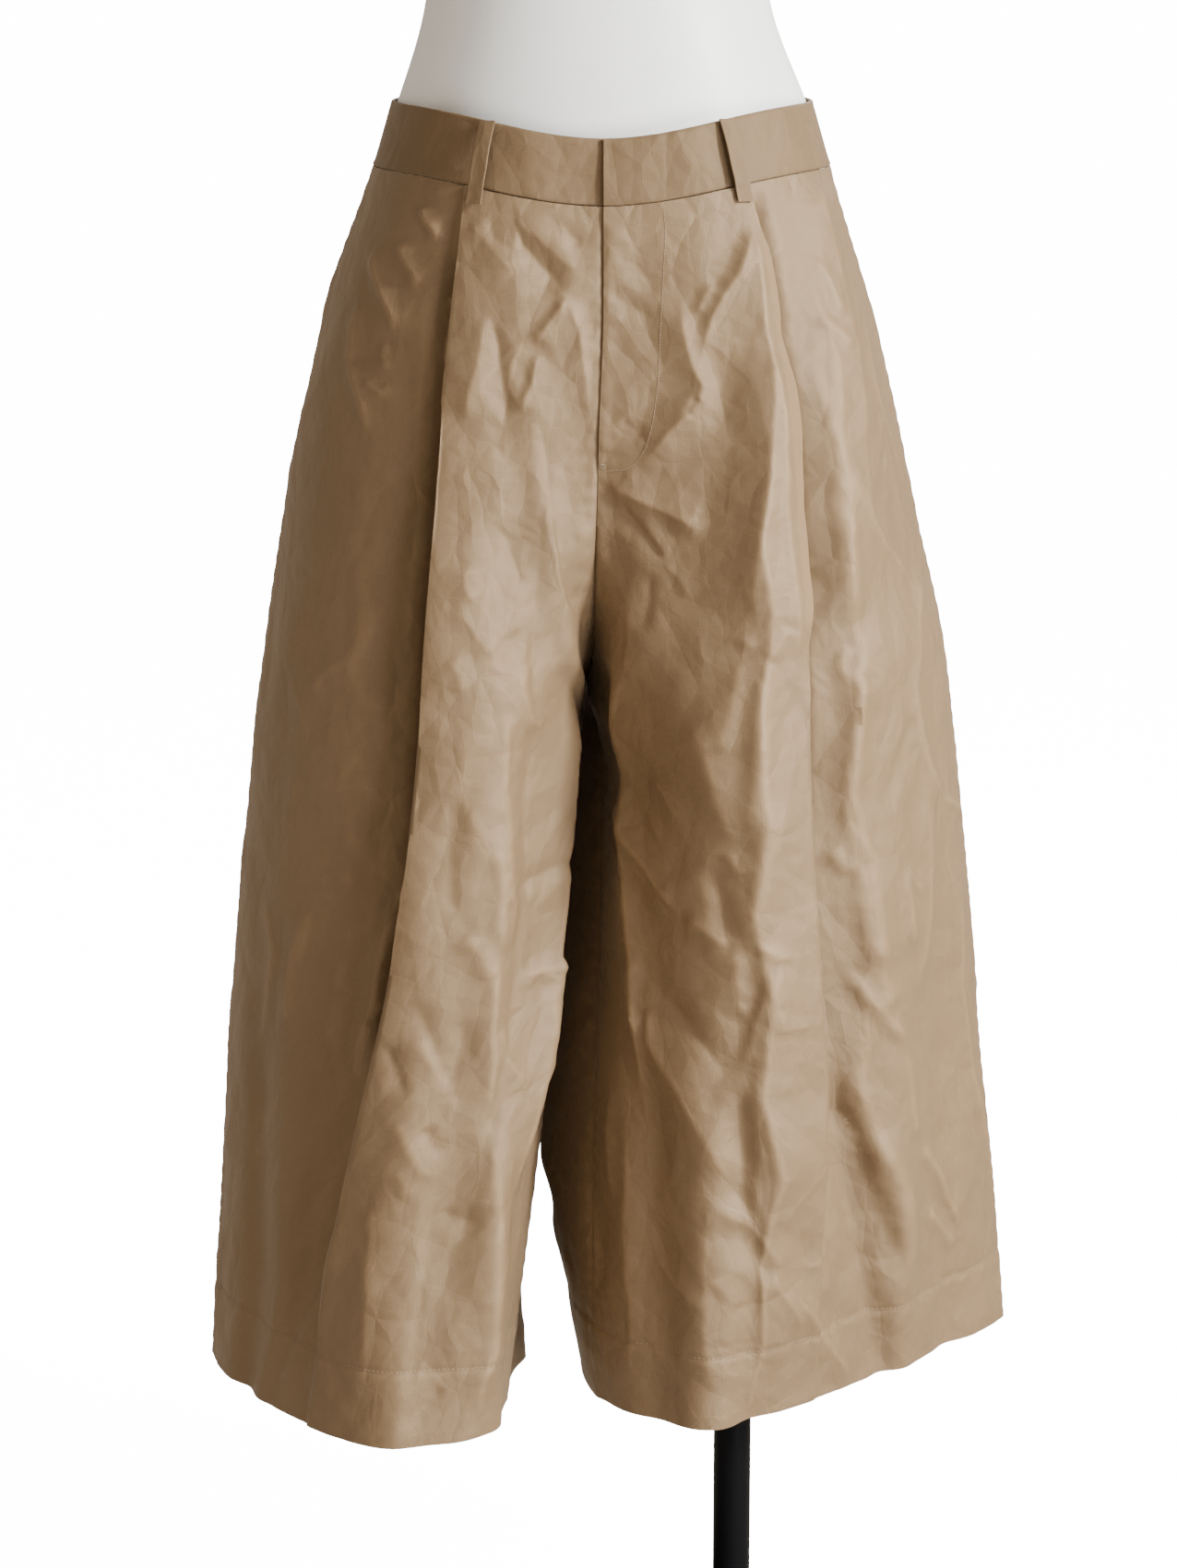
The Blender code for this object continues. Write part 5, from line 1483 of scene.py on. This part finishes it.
def painted_shade_band_finish(settings):
    """The waistband's and belt loops' cloth, doubled over a stiffening: its colour is darkened as painted
    shade, and it has less gloss.
    """
    # 0.86 takes the cloth's colour down as painted shade on the band and loops; 0.30 is their gloss.
    return cloth_finish(settings, "tan_cotton_band", 0.86, 0.30)


def thread_finish(settings):
    finish = Finish("tan_thread")
    twist = finish.noise(finish.place(), 2600.0, 2.0)
    tan = settings.thread_colour
    colour = finish.mixed(twist, scaled(tan, 0.8), scaled(tan, 1.15))
    return finish.shade(
        Base_Color=colour, Roughness=0.6, Sheen_Weight=0.3, Normal=finish.bump(twist, 0.00006),
    )


def shell_finish(settings):
    """The form's white lacquered shell: almost smooth, with a faint unevenness."""
    finish = Finish("white_shell")
    place = finish.place()
    wide = finish.noise(place, 7.0, 2.0)
    fine = finish.noise(place, 420.0, 3.0)
    white = settings.shell_colour
    colour = finish.mixed(wide.between(0.35, 0.7), scaled(white, 0.97), white)
    return finish.shade(
        Base_Color=colour, Roughness=0.42 + fine * 0.1, Specular_IOR_Level=0.45,
        Coat_Weight=0.12 + wide * 0.08, Coat_Roughness=0.3,
        Normal=finish.bump(fine * 0.5 + wide * 6.0, 0.00008),
    )


def steel_finish(settings):
    """Black powder-coated steel, with its fine pebbled skin."""
    finish = Finish("black_steel_coat")
    place = finish.place()
    pebbles = finish.noise(place, 1600.0, 2.0)
    dust = finish.noise(place, 34.0, 5.0, 0.6).between(0.52, 0.78)
    colour = finish.mixed(dust * 0.3, settings.steel_colour, scaled(settings.steel_colour, 2.2))
    return finish.shade(
        Base_Color=colour, Roughness=0.34 + pebbles * 0.12 + dust * 0.12, Specular_IOR_Level=0.08,
        Normal=finish.bump(pebbles, 0.00005),
    )


def studio_finish(name, colour, glow):
    """A pale matt ground that is bright by itself, so that it stays even behind the object."""
    finish = Finish(name)
    soft = finish.noise(finish.place(), 3.0, 2.0)
    return finish.shade(
        Base_Color=finish.mixed(soft, scaled(colour, 0.99), colour), Roughness=0.9,
        Emission_Color=(*colour, 1), Emission_Strength=glow,
    )


@functools.lru_cache(maxsize=None)
def finish_named(name):
    """One of the object's materials, made once from the panel's settings."""
    makers = {
        "cloth": cloth_finish, "band_cloth": painted_shade_band_finish, "thread": thread_finish,
        "shell": shell_finish, "steel": steel_finish,
    }
    return makers[name](bpy.context.scene.culottes_finish)


# ---- The form, its stand and the studio ----


def deselect():
    for piece in bpy.context.selected_objects:
        piece.select_set(False)


def start_primitive(make, **sizes):
    """A new primitive, alone in the selection, in edit mode."""
    deselect()
    make(**sizes)
    piece = bpy.context.object
    bpy.ops.object.mode_set(mode="EDIT")
    bpy.ops.mesh.select_mode(type="FACE")
    bpy.ops.mesh.select_all(action="DESELECT")
    return piece


def pick(piece, wanted, edges=False):
    """Selects the faces, or the edges, whose middle passes a test."""
    net = bmesh.from_edit_mesh(piece.data)
    for part in net.verts:
        part.select = False
    if edges:
        bpy.ops.mesh.select_mode(type="EDGE")
        net = bmesh.from_edit_mesh(piece.data)
        for edge in net.edges:
            edge.select = wanted((edge.verts[0].co + edge.verts[1].co) / 2)
    else:
        for face in net.faces:
            face.select = wanted(face.calc_center_median())
    net.select_flush_mode()
    bmesh.update_edit_mesh(piece.data)


def finish_part(piece, name, node, material):
    """Leaves edit mode, puts the piece's place in its mesh, names it, gives it its material, and hides the
    CAD node it stands for.
    """
    bpy.ops.mesh.select_all(action="SELECT")
    bpy.ops.mesh.normals_make_consistent(inside=False)
    bpy.ops.object.mode_set(mode="OBJECT")
    bpy.ops.object.transform_apply(location=True, rotation=True, scale=True)
    piece.name = piece.data.name = name
    piece.data.materials.clear()
    piece.data.materials.append(material)
    bpy.ops.object.shade_smooth_by_angle(angle=math.radians(35))
    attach(piece, BODY)
    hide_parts(node)


def make_form(settings, material):
    """The form's shell: the frame's rings, smoothed, with its two flat ends kept crisp."""
    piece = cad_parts["dress_form"].copy()
    piece.data = piece.data.copy()
    piece.name = piece.data.name = "form_shell"
    for key in list(piece.keys()):
        del piece[key]
    piece.parent = None
    bpy.context.scene.collection.objects.link(piece)
    deselect()
    piece.select_set(True)
    bpy.context.view_layer.objects.active = piece
    bpy.ops.object.mode_set(mode="EDIT")
    bpy.ops.mesh.select_all(action="SELECT")
    bpy.ops.mesh.remove_doubles(threshold=0.00001)
    bpy.ops.mesh.tris_convert_to_quads()
    bpy.ops.mesh.select_all(action="DESELECT")
    low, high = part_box("dress_form")
    pick(piece, lambda co: co.z < low.z + NEAR or co.z > high.z - NEAR, edges=True)
    bpy.ops.transform.edge_crease(value=FORM_RIMS)
    bpy.ops.object.mode_set(mode="OBJECT")
    smooth = piece.modifiers.new("smooth", "SUBSURF")
    smooth.levels = smooth.render_levels = settings.form_smoothing
    bpy.ops.object.modifier_apply(modifier="smooth")
    piece.data.materials.clear()
    piece.data.materials.append(material)
    bpy.ops.object.shade_smooth_by_angle(angle=math.radians(50))
    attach(piece, BODY)
    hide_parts("dress_form")


def make_sleeve(name, node, centre, wide, narrow, upwards, material):
    """A flanged sleeve with a bore through it: wide and narrow are each a radius and a height."""
    way = 1 if upwards else -1
    x, y, z = centre
    piece = start_primitive(
        bpy.ops.mesh.primitive_cylinder_add, vertices=STAND_SIDES, radius=wide[0], depth=wide[1],
        location=(x, y, z + way * wide[1] / 2),
    )
    local = way * wide[1] / 2
    pick(piece, lambda co: abs(co.z - local) < NEAR)
    bpy.ops.mesh.inset(thickness=wide[0] - narrow[0])
    bpy.ops.mesh.extrude_region_move(TRANSFORM_OT_translate={"value": (0, 0, way * narrow[1])})
    bpy.ops.mesh.inset(thickness=narrow[0] - BORE_RADIUS)
    pick(piece, lambda co: abs(co.z + local) < NEAR)
    bpy.ops.mesh.inset(thickness=wide[0] - BORE_RADIUS)
    ends = (local + way * narrow[1], -local)
    pick(piece, lambda co: math.hypot(co.x, co.y) < NEAR and min(abs(co.z - end) for end in ends) < NEAR)
    bpy.ops.mesh.bridge_edge_loops()
    rims = ((wide[0], local), (wide[0], -local), (narrow[0], ends[0]))
    flat = math.cos(math.pi / STAND_SIDES)
    pick(piece, lambda co: any(
        abs(math.hypot(co.x, co.y) - radius * flat) < NEAR and abs(co.z - level) < NEAR
        for radius, level in rims
    ), edges=True)
    bpy.ops.mesh.bevel(offset=SLEEVE_EDGE, segments=3, affect="EDGES")
    finish_part(piece, name, node, material)


def make_disc(name, node, radius, low, high, edge, material):
    """A round bar or plate with rounded rims, between two heights on its CAD node's axis."""
    corner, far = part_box(node)
    x, y = (corner.x + far.x) / 2, (corner.y + far.y) / 2
    piece = start_primitive(
        bpy.ops.mesh.primitive_cylinder_add, vertices=STAND_SIDES * 2, radius=radius, depth=high - low,
        location=(x, y, (low + high) / 2),
    )
    half, rim = (high - low) / 2, radius * 0.98
    for level in (-half, half):
        pick(piece, lambda co: abs(co.z - level) < 1e-5)
        bpy.ops.mesh.inset(thickness=radius * 0.3)
    pick(piece, lambda co: abs(abs(co.z) - half) < 1e-5 and math.hypot(co.x, co.y) > rim, edges=True)
    bpy.ops.mesh.bevel(offset=edge, segments=4, affect="EDGES")
    finish_part(piece, name, node, material)


def make_stand(material):
    pole_low, pole_high = (corner.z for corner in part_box("pole"))
    make_disc("pole_tube", "pole", POLE_RADIUS, pole_low, pole_high, POLE_EDGE, material)
    make_disc("base_disc", "base_plate", BASE_RADIUS, 0.0, BASE_THICKNESS, BASE_EDGE, material)
    wider, thick = COLLAR_FLANGE
    make_sleeve(
        "base_sleeve", "base_collar", (POLE_X, 0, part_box("base_collar")[0].z),
        (COLLAR_RADIUS + wider, thick), (COLLAR_RADIUS, COLLAR_HEIGHT - thick), True, material,
    )
    wider, thick = SOCKET_FLANGE
    make_sleeve(
        "form_sleeve", "form_socket", (POLE_X, 0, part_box("form_socket")[1].z),
        (COLLAR_RADIUS + wider, thick), (COLLAR_RADIUS, SOCKET_HEIGHT), False, material,
    )


def make_ground(settings):
    """A pale floor that sweeps up behind the object."""
    rise, bend = FLOOR_SWEEP
    far = FLOOR_SIZE / 2 - 0.01
    piece = start_primitive(bpy.ops.mesh.primitive_plane_add, size=FLOOR_SIZE, location=(0, 0, -FLOOR_GAP))
    pick(piece, lambda co: co.y > far and abs(co.x) < 0.01, edges=True)
    bpy.ops.mesh.extrude_region_move(TRANSFORM_OT_translate={"value": (0, 0, FLOOR_SIZE * rise)})
    pick(piece, lambda co: co.y > far and abs(co.x) < 0.01 and abs(co.z) < 0.01, edges=True)
    bpy.ops.mesh.bevel(offset=FLOOR_SIZE * bend, segments=16, affect="EDGES")
    bpy.ops.mesh.select_all(action="DESELECT")
    bpy.ops.object.mode_set(mode="OBJECT")
    bpy.ops.object.transform_apply(location=True, rotation=True, scale=True)
    piece.name = piece.data.name = "studio_ground"
    piece.data.materials.append(studio_finish("pale_ground", settings.ground_colour, settings.ground_glow))
    bpy.ops.object.shade_smooth_by_angle(angle=math.radians(40))
    piece.visible_diffuse = piece.visible_glossy = False


def make_lamp(name, place, target, size, power, colour):
    lamp = bpy.data.lights.new(name, "AREA")
    lamp.shape, lamp.size, lamp.size_y = "RECTANGLE", *size
    lamp.energy, lamp.color = power, colour
    holder = bpy.data.objects.new(name, lamp)
    holder.location = place
    holder.rotation_mode = "QUATERNION"
    holder.rotation_quaternion = (Vector(target) - Vector(place)).to_track_quat("-Z", "Y")
    holder.visible_camera = False
    bpy.context.scene.collection.objects.link(holder)


def make_studio(settings):
    make_ground(settings)
    for name, place, target, size, power, colour in LAMPS:
        share = settings.key_light if name == "window_light" else settings.fill_light
        make_lamp(name, place, target, size, power * share, colour)
    world = bpy.data.worlds.new("studio_air")
    world.use_nodes = True
    air = world.node_tree.nodes["Background"].inputs
    air["Color"].default_value = (*settings.air_colour, 1)
    air["Strength"].default_value = settings.air_light
    bpy.context.scene.world = world
    camera = bpy.data.cameras.new("view")
    camera.lens, camera.sensor_width = CAMERA_LENS, CAMERA_SENSOR
    holder = bpy.data.objects.new("view", camera)
    holder.location = CAMERA_PLACE
    holder.rotation_euler = (math.radians(90 - CAMERA_DOWN), 0, 0)
    bpy.context.scene.collection.objects.link(holder)
    bpy.context.scene.camera = holder


# ---- The add-on: settings, operators and panel ----


COLOUR = {"min": 0, "max": 1, "size": 3, "subtype": "COLOR"}


class CulottesCloth(bpy.types.PropertyGroup):
    """How hard the cloth is pressed and crumpled."""

    crease_strength: FloatProperty(
        name="Creases", description="How high the placed creases stand, as a share of their own heights",
        default=1.0, min=0.0, max=2.0, subtype="FACTOR",
    )
    crumple: FloatProperty(
        name="Crumple", description="How high the small facets between the creases stand",
        default=1.0, min=0.0, max=3.0, subtype="FACTOR",
    )


class CulottesFinish(bpy.types.PropertyGroup):
    """The object's colours."""

    cloth_colour: FloatVectorProperty(
        name="Cloth", description="The cotton's own colour", default=(0.180, 0.1235, 0.0705), **COLOUR,
    )
    sheen: FloatProperty(
        name="Sheen", description="The pale gloss of the cloth seen aslant", default=0.12,
        min=0, max=1, subtype="FACTOR",
    )
    thread_colour: FloatVectorProperty(
        name="Thread", description="The sewing thread's colour", default=(0.235, 0.168, 0.100), **COLOUR,
    )
    shell_colour: FloatVectorProperty(
        name="Form", description="The dress form's lacquer", default=(0.90, 0.96, 1.0), **COLOUR,
    )
    steel_colour: FloatVectorProperty(
        name="Stand", description="The stand's powder coat", default=(0.004, 0.0045, 0.006), **COLOUR,
    )


class CulottesForm(bpy.types.PropertyGroup):
    """The dress form's smoothing."""

    form_smoothing: IntProperty(
        name="Smoothing", description="Subdivision steps of the form's shell", default=2, min=0, max=3,
    )


class CulottesStudio(bpy.types.PropertyGroup):
    """The studio's light and ground."""

    key_light: FloatProperty(
        name="Window light", description="The main light's power, as a share of its own", default=1.0,
        min=0, max=10, subtype="FACTOR",
    )
    fill_light: FloatProperty(
        name="Fill light", description="The other lights' power, as a share of their own", default=1.0,
        min=0, max=10, subtype="FACTOR",
    )
    air_light: FloatProperty(
        name="Air light", description="The even light from all round", default=0.56, min=0, max=10,
    )
    air_colour: FloatVectorProperty(
        name="Air", description="The even light's colour", default=(1.0, 0.84, 0.67), **COLOUR,
    )
    ground_colour: FloatVectorProperty(
        name="Ground", description="The floor's colour", default=(0.93, 0.93, 0.94), **COLOUR,
    )
    ground_glow: FloatProperty(
        name="Ground glow", description="How bright the ground is by itself", default=16.0, min=0, max=50,
    )


class CULOTTES_OT_legs(bpy.types.Operator):
    """Builds the legs' four panels, and the cloth behind their seams and the pockets' edges"""

    bl_idname = "culottes.legs"
    bl_label = "Legs"

    def execute(self, context):
        cloth, panels = finish_named("cloth"), cloth_panels()
        for name, panel in panels.items():
            piece = shell(
                name + "_cloth", panel.points, panel.out, panel.flip, CLOTH, cloth,
                panel.used, panel.down, panel.ridge, skip=2,
            )
            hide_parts(name)
        behind = [make_pocket_facing(leg, panels["front_" + leg.name], cloth) for leg in (RIGHT, LEFT)]
        for piece in behind + make_allowances(panels, cloth):
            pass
        return {"FINISHED"}


class CULOTTES_OT_waistband(bpy.types.Operator):
    """Builds the waistband, lapped over itself at the centre front"""

    bl_idname = "culottes.waistband"
    bl_label = "Waistband"

    def execute(self, context):
        piece = make_waistband(context.scene.culottes_cloth.crumple, finish_named("band_cloth"))
        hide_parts("waistband")
        return {"FINISHED"}


class CULOTTES_OT_belt_loops(bpy.types.Operator):
    """Builds the five belt loops"""

    bl_idname = "culottes.belt_loops"
    bl_label = "Belt loops"

    def execute(self, context):
        for row in LOOPS:
            piece = make_belt_loop(row, finish_named("band_cloth"))
            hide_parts(row[0])
        return {"FINISHED"}


class CULOTTES_OT_stitching(bpy.types.Operator):
    """Sews the fly's J line, the hems and the edges of the belt loops"""

    bl_idname = "culottes.stitching"
    bl_label = "Stitching"

    def execute(self, context):
        panels = cloth_panels()
        sewn = {"fly_stitching": fly_runs(panels["front_left"])}
        sewn.update((name + "_hem_stitching", hem_runs(panel)) for name, panel in panels.items())
        sewn.update((row[0] + "_stitching", loop_runs(row)) for row in LOOPS)
        for name, runs in sewn.items():
            stitches(name, runs, finish_named("thread"))
        return {"FINISHED"}


class CULOTTES_OT_form(bpy.types.Operator):
    """Builds the dress form's smooth shell"""

    bl_idname = "culottes.form"
    bl_label = "Dress form"

    def execute(self, context):
        make_form(context.scene.culottes_form, finish_named("shell"))
        return {"FINISHED"}


class CULOTTES_OT_stand(bpy.types.Operator):
    """Builds the pole, its two sleeves and the base"""

    bl_idname = "culottes.stand"
    bl_label = "Stand"

    def execute(self, context):
        make_stand(finish_named("steel"))
        return {"FINISHED"}


class CULOTTES_OT_studio(bpy.types.Operator):
    """Sets up the ground, the lights and the camera"""

    bl_idname = "culottes.studio"
    bl_label = "Studio"

    def execute(self, context):
        make_studio(context.scene.culottes_studio)
        return {"FINISHED"}


OPERATORS = (
    CULOTTES_OT_legs, CULOTTES_OT_waistband, CULOTTES_OT_belt_loops, CULOTTES_OT_stitching,
    CULOTTES_OT_form, CULOTTES_OT_stand, CULOTTES_OT_studio,
)
GROUPS = {
    "culottes_cloth": CulottesCloth, "culottes_finish": CulottesFinish,
    "culottes_form": CulottesForm, "culottes_studio": CulottesStudio,
}


class CULOTTES_PT_build(bpy.types.Panel):
    """Lists the steps and their settings"""

    bl_idname = "CULOTTES_PT_build"
    bl_label = "Culottes"
    bl_space_type = "VIEW_3D"
    bl_region_type = "UI"
    bl_category = "Culottes"

    def draw(self, context):
        for operator in OPERATORS:
            self.layout.operator(operator.bl_idname)
        for name in GROUPS:
            settings = getattr(context.scene, name)
            box = self.layout.box()
            for key in settings.bl_rna.properties.keys():
                if key not in ("name", "rna_type"):
                    box.prop(settings, key)


def register():
    for kind in (*GROUPS.values(), *OPERATORS, CULOTTES_PT_build):
        bpy.utils.register_class(kind)
    for name, kind in GROUPS.items():
        setattr(bpy.types.Scene, name, PointerProperty(type=kind))


def unregister():
    for name in GROUPS:
        delattr(bpy.types.Scene, name)
    for kind in reversed((*GROUPS.values(), *OPERATORS, CULOTTES_PT_build)):
        bpy.utils.unregister_class(kind)


def declare_cloth():
    """Looks up each panel's and belt loop's piece and works out each panel's cloth area, but keeps
    nothing.
    """
    for name, panel in cloth_panels().items():
        widths = panel.measure[:, -1]
        steps = np.linalg.norm(np.diff(panel.points, axis=0), axis=2).sum(axis=0)
        bpy.data.objects[name + "_cloth"]
        float(widths.mean() * steps.mean())
        name + "_hem_stitching"
    band_length()
    for row in LOOPS:
        bpy.data.objects[row[0] + "_strap"]
        row[0] + "_stitching"


def main():
    register()
    for operator in OPERATORS:
        group, action = operator.bl_idname.split(".")
        getattr(getattr(bpy.ops, group), action)()
    declare_cloth()


if __name__ == "__main__":
    main()
